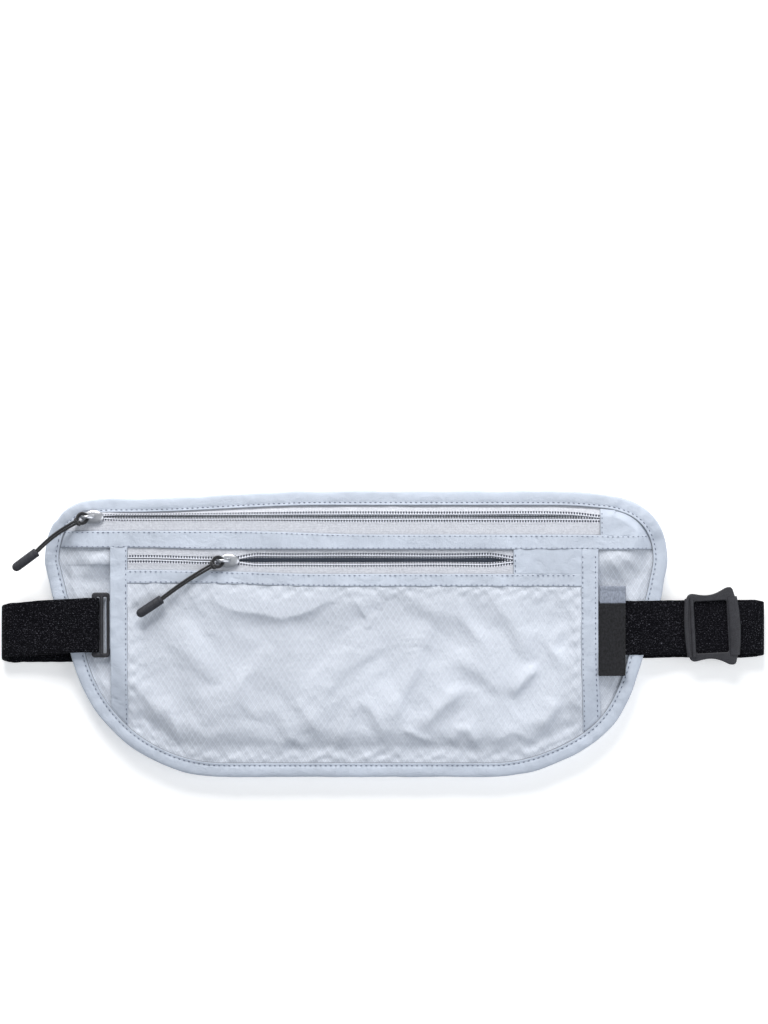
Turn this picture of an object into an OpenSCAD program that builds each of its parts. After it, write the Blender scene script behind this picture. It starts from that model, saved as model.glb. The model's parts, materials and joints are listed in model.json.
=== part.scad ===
// Money belt: a flat two-pocket pouch on a doubled elastic waist strap.
// It lies on its back: +X to the wearer's left, +Y to the top edge, +Z out of the front.
// The origin is on the underside of the strap's back run, at the middle of the pouch.

/* [Pouch] */
// Widest width of the pouch
pouch_w = 287; // [275:1:300]
// Height of the top edge above the strap's centreline
top_y = 65.5; // [62:0.5:69]
// Depth of the bottom edge below the strap's centreline
bottom_y = 66.9; // [64:0.5:72]
// Radius of the two top corners
top_r = 30; // [28:1:30]
// Radius of the two bottom corners
bottom_r = 72; // [66:1:76]
// Lean of the two sides, in degrees
side_lean = 14.7; // [12:0.1:17]
// Width of the bound border
border_w = 6; // [5:0.5:7]
// Thickness of one layer of cloth
cloth_t = 0.5; // [0.4:0.1:0.6]
// Clear depth of each pocket
pocket_d = 4.5; // [4.3:0.1:6]

/* [Zips] */
// Height of the upper zip's centreline
upper_zip_y = 53.5; // [53:0.1:54]
// Height of the lower zip's centreline
lower_zip_y = 33.4; // [33:0.1:34]
// Gap between the tapes where the chain is closed
closed_gap = 1.4; // [1.3:0.1:1.6]
// Gap between the tapes where the mouth is open
mouth_gap = 4.6; // [4.4:0.1:4.8]
// Diameter of each coil
coil_d = 1.2; // [1:0.1:1.3]

/* [Strap] */
// Width of the elastic
strap_w = 25; // [24:0.5:26]
// Thickness of the elastic
strap_t = 1.1; // [1:0.1:1.2]
// Fold of the strap on the ring's side
left_fold_x = -165; // [-170:1:-160]
// Fold of the strap on the adjuster's side
right_fold_x = 189; // [185:1:195]

/* [Ring and adjuster] */
// Height of the ring, across the strap
ring_h = 30; // [29:0.5:31]
// Height of the adjuster at its ears
glide_h = 36; // [35:0.5:37]

/* [Hidden] */
$fn = 48;
run_gap = 0.3;
eps_depth = 1;

// Levels, from the floor up
strap_top_z = 2 * strap_t + 0.1;
back_z = strap_top_z + run_gap;
partition_z = back_z + cloth_t + pocket_d;
plane_z = partition_z + cloth_t + pocket_d;
skin_z = plane_z - cloth_t;
top_z = plane_z + cloth_t;
border_z = (back_z + plane_z) / 2;
border_t = 2;
shelf_z = border_z + 0.5;
shelf_top_z = shelf_z + cloth_t;

// Centres of the four corner arcs
lean_nx = cos(side_lean);
lean_ny = -sin(side_lean);
top_cx = pouch_w / 2 - top_r;
top_cy = top_y - top_r;
side_reach = lean_nx * top_cx + lean_ny * top_cy + top_r;
bottom_cy = bottom_r - bottom_y;
bottom_cx = (side_reach - bottom_r - lean_ny * bottom_cy) / lean_nx;
arc_steps = 9;

// Front pocket, zips and bands
patch_x0 = -113.7;
patch_x1 = 111.2;
band_w = 8;
patch_in_x0 = patch_x0 + band_w;
patch_in_x1 = patch_x1 - band_w;
divider_y0 = 38.3;
divider_y1 = 45.6;
header_y0 = 21.2;
header_y1 = 27.4;
upper_x0 = -127;
upper_x1 = 112;
upper_mouth_x0 = -118;
upper_tape_y0 = divider_y1;
upper_tape_y1 = top_y - border_w;
lower_x0 = patch_in_x0;
lower_x1 = 72;
lower_mouth_x0 = -52;
coil_z = plane_z - coil_d / 2 - 0.05;
seat_inset = 3;
stop_l = 2;
stop_t = 0.6;

// Sliders: both rest with their front ends to +X
upper_slider_x = -122;
lower_slider_x = -59.5;
slider_l = 10.7;
slider_w = 6.5;
plate_t = 0.9;
under_l = 8;
under_w = 5.6;
post_w = 0.6;
post_l = 2;
post_x = 2.4;
slider_z = top_z + run_gap;
under_z = coil_z - coil_d / 2 - run_gap - plate_t;
eye_x = -3.6;
eye_t = 0.9;
eye_wire = 0.7;
eye_hole_w = 2.8;
eye_hole_h = 2;

// Pulls: a cord loop through each eye, doubled into a moulded tip
cord_d = 1;
cord_z = slider_z + plate_t + eye_hole_h / 2;
upper_pull_a = 216.5;
lower_pull_a = 213.5;
upper_tip_at = 27;
lower_tip_at = 32;
knot_w = 4.6;
knot_back = 2.4;
knot_roll_d = 1.6;
knot_roll_at = 3.5;
cord_start = knot_roll_at + knot_roll_d / 2 + run_gap;
tip_l = 13.6;
tip_d = 4;

// Ring, its keeper and the strap's loop on it
ring_x0 = -122.6;
ring_pivot_x = -114.9;
ring_cy = 3.6;
ring_t = 1.4;
rail_w = 1.9;
left_bar_w = 2.2;
middle_bar_x0 = -118.9;
middle_bar_x1 = -117.2;
pivot_d = 1.4;
ring_loop_x0 = -126;
ring_loop_z = shelf_top_z + run_gap;
ring_z = ring_loop_z + strap_t + 0.05;
ring_pivot_z = ring_z + ring_t / 2;
keeper_h = 22;
keeper_r = 1.2;
keeper_bore_r = 0.9;

// Adjuster and the strap's tail sewn round its centre bar
glide_x0 = 151.4;
glide_x1 = 177.7;
glide_cy = 2.7;
strap_cy = 2.5;
tail_z = strap_top_z + run_gap;
centre_bar_t = 1.3;
centre_bar_z = tail_z + strap_t + 0.05;
tail_top_z = centre_bar_z + centre_bar_t + 0.05;
run_z = tail_top_z + strap_t + run_gap;
side_bar_z = run_z + strap_t + run_gap;
side_bar_t = 1.8;
glide_top_z = side_bar_z + side_bar_t;
left_side_bar_w = 5.4;
right_side_bar_w = 6;
centre_bar_x0 = 161.5;
centre_bar_w = 3;
tail_x1 = 176;
window_h = 26.4;
waist_h = 31;

// Label, hinged on its sewn edge and drooping a little
label_x0 = 112;
label_w = 12.1;
label_y0 = -19.8;
label_y1 = 21.7;
label_split_y = 13.6;
label_t = 0.6;
label_z = top_z + 0.1;
label_droop = 10;

// Strap: the middle of its thickness along the single run and the doubled run
single_t = strap_t;
double_t = strap_top_z;
double_mid = double_t / 2;
run_mid = run_z + strap_t / 2;
seam_mid = shelf_top_z + strap_t / 2;
fold_mid = run_z + strap_t - double_mid;
fold_r = (fold_mid - double_mid) / 2;
right_turn_x = right_fold_x - double_mid - fold_r;
left_turn_x = left_fold_x + double_mid + fold_r;
turn_steps = 8;
single_run = [
    [111.6, 2, seam_mid], [128, 2.2, seam_mid + 0.05], [137, 2.3, seam_mid + 0.25],
    [140, 2.4, seam_mid - 0.3], [142, strap_cy, run_mid + 0.4], [144.5, strap_cy, run_mid],
    [184.4, strap_cy, run_mid]
];
left_top = [
    [-126.7, 3.4, ring_pivot_z], [-132, 3.1, ring_pivot_z], [-138, 2.8, ring_pivot_z - 0.6],
    [-146, 2.4, 8], [-154, 2, 6.4], [left_turn_x, 1.6, fold_mid]
];
back_run = [[-130, 0.2, double_mid], [0, 0, double_mid], [140, 0, double_mid]];

cloth = "lightsteelblue";
tape_grey = "lavender";
elastic = "black";
silver = "silver";

// ---------- outlines ----------

function arc(cx, cy, r, a0, a1) =
    [for (i = [0 : arc_steps]) let (a = a0 + (a1 - a0) * i / arc_steps) [cx + r * cos(a), cy + r * sin(a)]];

// The pouch's outline, moved inwards by inset
function outline(inset) = concat(
    arc(bottom_cx, bottom_cy, bottom_r - inset, -90, -side_lean),
    arc(top_cx, top_cy, top_r - inset, -side_lean, 90),
    arc(-top_cx, top_cy, top_r - inset, 90, 180 + side_lean),
    arc(-bottom_cx, bottom_cy, bottom_r - inset, 180 + side_lean, 270)
);

module plate(z, t, inset) {
    translate([0, 0, z]) linear_extrude(t) polygon(outline(inset));
}

module slab(x0, x1, y0, y1, z0, z1) {
    translate([x0, y0, z0]) cube([x1 - x0, y1 - y0, z1 - z0]);
}

// A strip of cloth on the front, cut to the inside of the border
module strip(x0, x1, y0, y1, z, t) {
    intersection() {
        plate(z, t, border_w);
        slab(x0, x1, y0, y1, z - eps_depth, z + t + eps_depth);
    }
}

// ---------- shells of the pouch ----------

module back_panel() color(cloth) {
    difference() {
        plate(back_z, border_z - back_z, border_w);
        plate(back_z + cloth_t, border_z, border_w + cloth_t);
    }
}

module edge_binding() color("lightslategray") {
    difference() {
        plate(border_z - border_t / 2, border_t, 0);
        plate(border_z - border_t, 2 * border_t, border_w);
    }
}

// The raised front, with a lower shelf at each side for the strap
module main_panel() color(cloth) {
    difference() {
        plate(border_z, plane_z - border_z, border_w);
        for (side = [-1, 1])
            side_space(side, 0, shelf_top_z, plane_z + eps_depth);
        difference() {
            plate(border_z - eps_depth, skin_z - border_z + eps_depth, border_w + cloth_t);
            for (side = [-1, 1])
                side_space(side, cloth_t, shelf_z, plane_z);
        }
        slab(upper_x0, upper_x1, upper_tape_y0 + seat_inset, upper_tape_y1 - seat_inset / 2,
             border_z, top_z);
        intersection() {
            plate(border_z, top_z, border_w + 5);
            slab(patch_in_x0, patch_in_x1, -bottom_y, divider_y0, border_z, top_z);
        }
    }
}

// The space over one side shelf, grown by a wall's thickness
module side_space(side, wall, z0, z1) {
    x = side > 0 ? patch_x1 - wall : patch_x0 + wall;
    slab(side > 0 ? x : -pouch_w, side > 0 ? pouch_w : x, -pouch_w, divider_y0 + wall, z0, z1);
}

// The tray behind the front pocket
module pocket_partition() color(cloth) {
    difference() {
        intersection() {
            plate(partition_z, skin_z - partition_z, border_w + 4);
            slab(patch_in_x0 - 1, patch_in_x1 + 1, -bottom_y, divider_y0 + 1, partition_z, skin_z);
        }
        intersection() {
            plate(partition_z + cloth_t, pocket_d, border_w + 5);
            slab(patch_in_x0, patch_in_x1, -bottom_y, divider_y0, partition_z, plane_z);
        }
    }
}

module zip_divider_band() color("lightslategray")
    strip(-pouch_w, pouch_w, divider_y0, divider_y1, plane_z, cloth_t);

module front_panel() color(cloth)
    strip(patch_in_x0, patch_in_x1, -bottom_y, header_y0, plane_z, cloth_t);

module front_header_band() color("lightslategray")
    slab(patch_in_x0, patch_in_x1, header_y0, header_y1, plane_z, top_z);

module left_side_band() color("lightslategray")
    strip(patch_x0, patch_in_x0, -bottom_y, divider_y0, plane_z, cloth_t);

module right_side_band() color("lightslategray")
    strip(patch_in_x1, patch_x1, -bottom_y, divider_y0, plane_z, cloth_t);

// ---------- zips ----------

// One tape: its edge stands back from the centreline, and further back along the mouth
module tape(x0, x1, mouth_x0, centre_y, far_y) {
    side = far_y > centre_y ? 1 : -1;
    closed_y = centre_y + side * closed_gap / 2;
    mouth_y = centre_y + side * mouth_gap / 2;
    translate([0, 0, plane_z]) linear_extrude(cloth_t) polygon([
        [x0, closed_y], [mouth_x0, closed_y], [mouth_x0 + seat_inset, mouth_y],
        [x1 - seat_inset, mouth_y], [x1, closed_y], [x1, far_y], [x0, far_y]
    ]);
}

module rod(x0, x1, y, z, d) {
    translate([x0, y, z]) rotate([0, 90, 0]) cylinder(h = x1 - x0, d = d);
}

// One coil, in its closed run, its open run and the short closed run at the end
module coil(x0, x1, mouth_x0, centre_y, side) {
    closed_y = centre_y + side * (closed_gap + coil_d) / 2;
    mouth_y = centre_y + side * (mouth_gap + coil_d) / 2;
    rod(x0, mouth_x0, closed_y, coil_z, coil_d);
    rod(mouth_x0, x1, mouth_y, coil_z, coil_d);
}

// A pair of small clips under the coils, with its left ends at each place in the list
module stops(places, centre_y) {
    reach = closed_gap / 2 + coil_d;
    for (x = places, side = [-1, 1])
        translate([x, centre_y + side * reach / 2 - (reach - 0.4) / 2, coil_z - coil_d / 2 - stop_t])
            cube([stop_l, reach - 0.4, stop_t]);
}

module upper_zip_left_tab() color(tape_grey)
    strip(-pouch_w, upper_x0, upper_tape_y0, upper_tape_y1, plane_z, cloth_t);

module upper_zip_right_tab() color("lightslategray")
    strip(upper_x1, pouch_w, upper_tape_y0, upper_tape_y1, plane_z, cloth_t);

module upper_zip_tape_top() color(tape_grey)
    tape(upper_x0, upper_x1, upper_mouth_x0, upper_zip_y, upper_tape_y1);

module upper_zip_tape_bottom() color(tape_grey)
    tape(upper_x0, upper_x1, upper_mouth_x0, upper_zip_y, upper_tape_y0);

module upper_zip_coil_top() color("white")
    coil(upper_x0 + 1, upper_x1 - 1, upper_mouth_x0, upper_zip_y, 1);

module upper_zip_coil_bottom() color("white")
    coil(upper_x0 + 1, upper_x1 - 1, upper_mouth_x0, upper_zip_y, -1);

module upper_zip_stops() color(silver)
    stops([upper_x1 - stop_l], upper_zip_y);

module lower_zip_right_tab() color("lightslategray")
    slab(lower_x1, patch_in_x1, header_y1, divider_y0, plane_z, top_z);

module lower_zip_tape_top() color(tape_grey)
    tape(lower_x0, lower_x1, lower_mouth_x0, lower_zip_y, divider_y0);

module lower_zip_tape_bottom() color(tape_grey)
    tape(lower_x0, lower_x1, lower_mouth_x0, lower_zip_y, header_y1);

module lower_zip_coil_top() color("white")
    coil(lower_x0 + 1, lower_x1 - 1, lower_mouth_x0, lower_zip_y, 1);

module lower_zip_coil_bottom() color("white")
    coil(lower_x0 + 1, lower_x1 - 1, lower_mouth_x0, lower_zip_y, -1);

module lower_zip_stops() color(silver)
    stops([lower_x0, lower_x1 - stop_l], lower_zip_y);

// ---------- front pocket trim and strap ----------

function unit(v) = v / norm(v);

// The direction of a route at one of its points
function heading(route, i) =
    unit(route[min(i + 1, len(route) - 1)] - route[max(i - 1, 0)]);

// The four corners of a ribbon's section, thick across its run and wide along Y
function section(point, along, t, w) =
    let (up = unit([-along[2], 0, along[0]]) * t / 2, out = [0, w / 2, 0])
    [point + up - out, point + up + out, point - up + out, point - up - out];

module ribbon(route, t, w) {
    rings = len(route);
    corners = [for (i = [0 : rings - 1]) each section(route[i], heading(route, i), t, w)];
    sides = [for (i = [0 : rings - 2], k = [0 : 3])
        [4 * i + k, 4 * i + (k + 1) % 4, 4 * i + 4 + (k + 1) % 4, 4 * i + 4 + k]];
    polyhedron(corners, concat([[3, 2, 1, 0]], sides, [[for (k = [0 : 3]) 4 * rings - 4 + k]]));
}

// A half turn between the front run and the back run, at either end
function turn(x, y, side) =
    [for (i = [0 : turn_steps]) let (a = 90 - 180 * i / turn_steps)
        [x + side * fold_r * cos(a), y, double_mid + fold_r + fold_r * sin(a)]];

function reversed(list) = [for (i = [len(list) - 1 : -1 : 0]) list[i]];

module waist_strap() color(elastic) {
    ribbon(single_run, single_t, strap_w);
    ribbon(concat(left_top, turn(left_turn_x - 0.1, 0.8, -1), back_run,
                  reversed(turn(right_turn_x, 0.8, 1)), [[184.4, 1.4, fold_mid]]),
           double_t, strap_w);
}

// A strap end folded round a bar: two layers joined by a wrap at one end
module folded_end(x_free, x_wrap, y, z0, z1) {
    side = x_wrap > x_free ? 1 : -1;
    inner = x_wrap - side * strap_t;
    translate([0, y + strap_w / 2, 0]) rotate([90, 0, 0]) linear_extrude(strap_w) polygon([
        [x_free, z0], [x_wrap - side * 0.5, z0], [x_wrap, z0 + 0.5], [x_wrap, z1 - 0.5],
        [x_wrap - side * 0.5, z1], [x_free, z1], [x_free, z1 - strap_t], [inner, z1 - strap_t],
        [inner, z0 + strap_t], [x_free, z0 + strap_t]
    ]);
}

module strap_ring_loop() color(elastic)
    folded_end(ring_loop_x0, ring_x0 + left_bar_w + strap_t + 0.05, ring_cy, ring_loop_z,
               ring_z + ring_t + 0.05 + strap_t);

module strap_tail_loop() color(elastic)
    folded_end(tail_x1, centre_bar_x0 - strap_t - 0.05, strap_cy, tail_z, tail_top_z + strap_t);

// A cloth tube sewn along the shelf, which the ring's right bar turns in
module ring_keeper() color("lightslategray") {
    difference() {
        union() {
            translate([ring_pivot_x, ring_cy + keeper_h / 2, ring_pivot_z]) rotate([90, 0, 0])
                cylinder(h = keeper_h, r = keeper_r);
            slab(ring_pivot_x - 0.3, ring_pivot_x + keeper_r, ring_cy - keeper_h / 2,
                 ring_cy + keeper_h / 2, shelf_top_z, ring_pivot_z - 0.5);
        }
        translate([ring_pivot_x, ring_cy + keeper_h / 2 + eps_depth, ring_pivot_z]) rotate([90, 0, 0])
            cylinder(h = keeper_h + 2 * eps_depth, r = keeper_bore_r);
    }
}

module belt_ring() color("dimgray") {
    y0 = ring_cy - ring_h / 2;
    y1 = ring_cy + ring_h / 2;
    z1 = ring_z + ring_t;
    slab(ring_x0, ring_x0 + left_bar_w, y0 + 1, y1 - 1, ring_z, z1);
    slab(middle_bar_x0, middle_bar_x1, y0 + 1, y1 - 1, ring_z, z1);
    for (y = [y0, y1 - rail_w])
        slab(ring_x0 + 0.8, ring_pivot_x, y, y + rail_w, ring_z, z1);
    for (y = [y0 + 1, y1 - 1])
        translate([ring_x0 + 1, y, ring_z]) cylinder(h = ring_t, r = 1);
    translate([ring_pivot_x, y1, ring_pivot_z]) rotate([90, 0, 0])
        cylinder(h = ring_h, d = pivot_d);
}

// The adjuster's outline: concave long sides and an ear at each corner
module glide_outline() {
    difference() {
        translate([glide_x0, glide_cy - glide_h / 2]) square([glide_x1 - glide_x0, glide_h]);
        for (side = [-1, 1])
            translate([(glide_x0 + glide_x1) / 2 - 1, glide_cy + side * (waist_h / 2 + 30)])
                circle(r = 30, $fn = 120);
    }
}

module tri_glide() color("dimgray") {
    cy0 = glide_cy - window_h / 2;
    cy1 = glide_cy + window_h / 2;
    difference() {
        translate([0, 0, centre_bar_z]) linear_extrude(glide_top_z - centre_bar_z) glide_outline();
        slab(glide_x0 + left_side_bar_w, glide_x1 - right_side_bar_w, cy0, cy1,
             centre_bar_z - eps_depth, glide_top_z + eps_depth);
        slab(glide_x0 - eps_depth, glide_x1 + eps_depth, cy0, cy1,
             centre_bar_z - eps_depth, side_bar_z);
    }
    slab(centre_bar_x0, centre_bar_x0 + centre_bar_w, cy0 - 1, cy1 + 1,
         centre_bar_z, centre_bar_z + centre_bar_t);
}

module label_part(y0, y1) {
    translate([label_x0, 0, label_z]) rotate([0, label_droop, 0])
        slab(0, label_w, y0, y1, 0, label_t);
}

module label_flap() color("black") label_part(label_y0, label_split_y);

module label_fold() color("slategray") label_part(label_split_y, label_y1);

// ---------- sliders and pulls ----------

// A rounded plate with straight sides
module slider_plate(l, w, z) {
    r = w / 2;
    translate([0, 0, z]) {
        translate([-l / 2 + r, -r, 0]) cube([l - 2 * r, w, plate_t]);
        for (side = [-1, 1])
            translate([side * (l / 2 - r), 0, 0]) cylinder(h = plate_t, r = r);
    }
}

// The arch that the cord goes through, standing on the top plate
module slider_eye() {
    w = eye_hole_w + 2 * eye_wire;
    z = slider_z + plate_t;
    difference() {
        slab(eye_x - w / 2, eye_x + w / 2, -eye_t / 2, eye_t / 2, z, z + eye_hole_h + eye_wire);
        slab(eye_x - eye_hole_w / 2, eye_x + eye_hole_w / 2, -eye_t, eye_t, z, z + eye_hole_h);
    }
}

module slider(x, y) {
    translate([x, y, 0]) {
        slider_plate(slider_l, slider_w, slider_z);
        slider_plate(under_l, under_w, under_z);
        slab(post_x - post_l / 2, post_x + post_l / 2, -post_w / 2, post_w / 2,
             under_z + plate_t / 2, slider_z + plate_t / 2);
        slider_eye();
    }
}

// Places a pull at the middle of its slider's eye, pointing along its cord
module at_eye(x, y, a) {
    translate([x + eye_x, y, cord_z]) rotate([0, 0, a]) children();
}

module along_x(x0, x1, y, d) {
    translate([x0, y, 0]) rotate([0, 90, 0]) cylinder(h = x1 - x0, d = d);
}

module along_y(x, w, d) {
    translate([x, w / 2, 0]) rotate([90, 0, 0]) cylinder(h = w, d = d);
}

// The knot: a loop through the eye, square to the zip, closed by the roll of its turns
module knot(a) {
    half = cord_d / 2;
    rotate([0, 0, 180 - a]) along_y(0, knot_w + 1.6 * cord_d, cord_d);
    along_y(knot_roll_at, knot_w + 2 * cord_d, knot_roll_d);
    for (side = [-1, 1])
        translate([0, side * (knot_w + cord_d) / 2, 0])
            slab(-knot_back, knot_roll_at, -half, half, -half, half);
}

module doubled_cord(tip_at) {
    for (side = [-1, 1])
        along_x(cord_start, tip_at, side * (cord_d / 2 + 0.02), cord_d);
}

module pull_tip(tip_at) {
    along_x(tip_at, tip_at + tip_l - tip_d / 2, 0, tip_d);
    translate([tip_at + tip_l - tip_d / 2, 0, 0]) sphere(d = tip_d);
}

module upper_zip_slider() color(silver) slider(upper_slider_x, upper_zip_y);

module lower_zip_slider() color(silver) slider(lower_slider_x, lower_zip_y);

module upper_pull_knot() color("black")
    at_eye(upper_slider_x, upper_zip_y, upper_pull_a) knot(upper_pull_a);

module lower_pull_knot() color("black")
    at_eye(lower_slider_x, lower_zip_y, lower_pull_a) knot(lower_pull_a);

module upper_pull_cord() color("black")
    at_eye(upper_slider_x, upper_zip_y, upper_pull_a) doubled_cord(upper_tip_at);

module lower_pull_cord() color("black")
    at_eye(lower_slider_x, lower_zip_y, lower_pull_a) doubled_cord(lower_tip_at);

module upper_pull_tip() color("darkslategray")
    at_eye(upper_slider_x, upper_zip_y, upper_pull_a) pull_tip(upper_tip_at);

module lower_pull_tip() color("darkslategray")
    at_eye(lower_slider_x, lower_zip_y, lower_pull_a) pull_tip(lower_tip_at);

back_panel();
edge_binding();
main_panel();
pocket_partition();
zip_divider_band();
upper_zip_left_tab();
upper_zip_right_tab();
upper_zip_tape_top();
upper_zip_tape_bottom();
upper_zip_coil_top();
upper_zip_coil_bottom();
upper_zip_stops();
lower_zip_right_tab();
lower_zip_tape_top();
lower_zip_tape_bottom();
lower_zip_coil_top();
lower_zip_coil_bottom();
lower_zip_stops();
front_panel();
front_header_band();
left_side_band();
right_side_band();
waist_strap();
strap_ring_loop();
strap_tail_loop();
ring_keeper();
belt_ring();
tri_glide();
label_flap();
label_fold();
upper_zip_slider();
upper_pull_knot();
upper_pull_cord();
upper_pull_tip();
lower_zip_slider();
lower_pull_knot();
lower_pull_cord();
lower_pull_tip();
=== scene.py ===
"""The looks of the money belt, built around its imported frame. Lengths in this script are in mm."""
import json
import math

import bmesh
import bpy
import numpy as np
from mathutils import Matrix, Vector


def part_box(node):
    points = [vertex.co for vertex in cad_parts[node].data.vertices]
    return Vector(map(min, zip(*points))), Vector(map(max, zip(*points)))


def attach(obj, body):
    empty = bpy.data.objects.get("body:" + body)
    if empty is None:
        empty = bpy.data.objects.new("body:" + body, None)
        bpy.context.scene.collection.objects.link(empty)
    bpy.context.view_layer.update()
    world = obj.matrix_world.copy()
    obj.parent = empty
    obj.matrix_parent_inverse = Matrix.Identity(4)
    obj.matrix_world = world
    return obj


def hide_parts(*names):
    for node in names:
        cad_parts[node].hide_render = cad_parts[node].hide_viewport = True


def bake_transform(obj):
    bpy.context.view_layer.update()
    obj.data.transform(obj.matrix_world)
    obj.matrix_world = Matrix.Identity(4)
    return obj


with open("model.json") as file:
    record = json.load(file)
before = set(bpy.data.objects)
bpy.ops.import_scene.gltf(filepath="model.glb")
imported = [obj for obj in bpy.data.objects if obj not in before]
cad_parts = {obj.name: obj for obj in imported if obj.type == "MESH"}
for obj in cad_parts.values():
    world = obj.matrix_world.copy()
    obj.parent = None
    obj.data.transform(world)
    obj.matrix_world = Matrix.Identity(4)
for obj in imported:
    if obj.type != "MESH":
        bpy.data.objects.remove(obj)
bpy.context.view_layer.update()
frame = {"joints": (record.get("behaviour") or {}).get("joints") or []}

MM = 0.001
rng = np.random.default_rng(7)

# ---- measures from the frame ----


def node_box(node):
    """Lowest and highest corner of a CAD node, in mm."""
    low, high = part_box(node)
    return np.array(low) / MM, np.array(high) / MM


# The pouch's outline has a straight top and bottom, leaning sides and round corners. Its lower corners'
# centres are where the sides meet their arcs smoothly.
BINDING = node_box("edge_binding")
TOP_Y, BOTTOM_Y = BINDING[1][1], -BINDING[0][1]
POUCH_W = BINDING[1][0] - BINDING[0][0]
TOP_R, BOTTOM_R, SIDE_LEAN = 30.0, 72.0, math.radians(14.7)
LEAN_N = np.array([math.cos(SIDE_LEAN), -math.sin(SIDE_LEAN)])
TOP_C = np.array([POUCH_W / 2 - TOP_R, TOP_Y - TOP_R])
SIDE_REACH = LEAN_N @ TOP_C + TOP_R
BOTTOM_CY = BOTTOM_R - BOTTOM_Y
BOTTOM_C = np.array([(SIDE_REACH - BOTTOM_R - LEAN_N[1] * BOTTOM_CY) / LEAN_N[0], BOTTOM_CY])

# Mm in from the outline: the border's inner edge, its stitches, and two ends of cloth that is sewn under it.
BORDER_W, STITCH_INSET, SEWN_INSET, TUCK = 6.0, 5.3, 5.2, 5.0

FRONT = node_box("front_panel")
HEADER = node_box("front_header_band")
LEFT_BAND = node_box("left_side_band")
RIGHT_BAND = node_box("right_side_band")
DIVIDER = node_box("zip_divider_band")
BACK = node_box("back_panel")
PARTITION = node_box("pocket_partition")
RING = node_box("belt_ring")
GLIDE = node_box("tri_glide")
STRAP = node_box("waist_strap")

# Heights: the front's flat middle, the cloth that the strap's ends press down, the border's upper face at
# the bottom and at the top, and how far the cloth beside the border lies below it.
PLANE_Z, SHELF_Z = FRONT[1][2], 8.5
BORDER_Z, TOP_BORDER_Z, GROOVE = BINDING[1][2], 11.2, 0.6
PATCH_X0, PATCH_X1 = LEFT_BAND[0][0], RIGHT_BAND[1][0]
PATCH_IN_X0, PATCH_IN_X1 = FRONT[0][0], FRONT[1][0]
DIVIDER_Y0, DIVIDER_Y1 = DIVIDER[0][1], DIVIDER[1][1]
HEADER_Y0, HEADER_Y1 = HEADER[0][1], HEADER[1][1]
UPPER_X0, UPPER_X1 = (corner[0] for corner in node_box("upper_zip_tape_top"))
LOWER_X0, LOWER_X1 = (corner[0] for corner in node_box("lower_zip_tape_top"))

PIVOTS = {j["name"]: np.array(j["pos_m"]) / MM for j in frame["joints"] if "pos_m" in j}
EYE_UPPER, EYE_LOWER = PIVOTS["upper_pull_lift"], PIVOTS["lower_pull_lift"]
RING_PIVOT, LABEL_PIVOT = PIVOTS["ring_swing"], PIVOTS["label_hinge"]
# A pull's eye, as mm along the zip from its slider's centre.
EYE_X = -3.6
UPPER_ZIP_Y, LOWER_ZIP_Y = EYE_UPPER[1], EYE_LOWER[1]
UPPER_SLIDER_X, LOWER_SLIDER_X = EYE_UPPER[0] - EYE_X, EYE_LOWER[0] - EYE_X


def smooth(t):
    t = np.clip(t, 0, 1)
    return t * t * (3 - 2 * t)


# ---- camera and lights ----

# The photograph's scale, its height, and the point of the belt in its middle. It looks straight down.
PIXEL_MM = 0.4615
VIEW_CENTRE = (12.46, 55.8)
VIEW_H = 1024 * PIXEL_MM
LENS, SENSOR = 100.0, 36.0

camera = bpy.data.objects.new("camera", bpy.data.cameras.new("camera"))
bpy.context.scene.collection.objects.link(camera)
camera.data.lens = LENS
camera.data.sensor_width = SENSOR
camera.location = (VIEW_CENTRE[0] * MM, VIEW_CENTRE[1] * MM, (12 + VIEW_H * LENS / SENSOR) * MM)
camera.data.clip_start, camera.data.clip_end = 0.05, 20
bpy.context.scene.camera = camera


def area_light(name, place, size, power, colour=(1, 1, 1)):
    """A square soft light that looks at the middle of the belt."""
    data = bpy.data.lights.new(name, "AREA")
    data.size, data.energy, data.color = size, power, colour
    light = bpy.data.objects.new(name, data)
    bpy.context.scene.collection.objects.link(light)
    light.location = place
    light.rotation_euler = (Vector((0, 0, 0)) - Vector(place)).to_track_quat("-Z", "Y").to_euler()


area_light("key", (-0.12, 1.02, 0.64), 0.6, 16.4, (1.0, 0.985, 0.965))
area_light("fill", (0.9, -0.2, 0.9), 0.9, 5.6, (0.95, 0.97, 1.0))
area_light("top", (0.0, 0.1, 1.7), 1.2, 1.4)

world = bpy.data.worlds.new("studio")
bpy.context.scene.world = world
world.use_nodes = True
world.node_tree.nodes["Background"].inputs[0].default_value = (0.88, 0.935, 1.0, 1)
world.node_tree.nodes["Background"].inputs[1].default_value = 0.33
bpy.context.scene.view_settings.view_transform = "Standard"

# ---- materials ----


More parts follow.
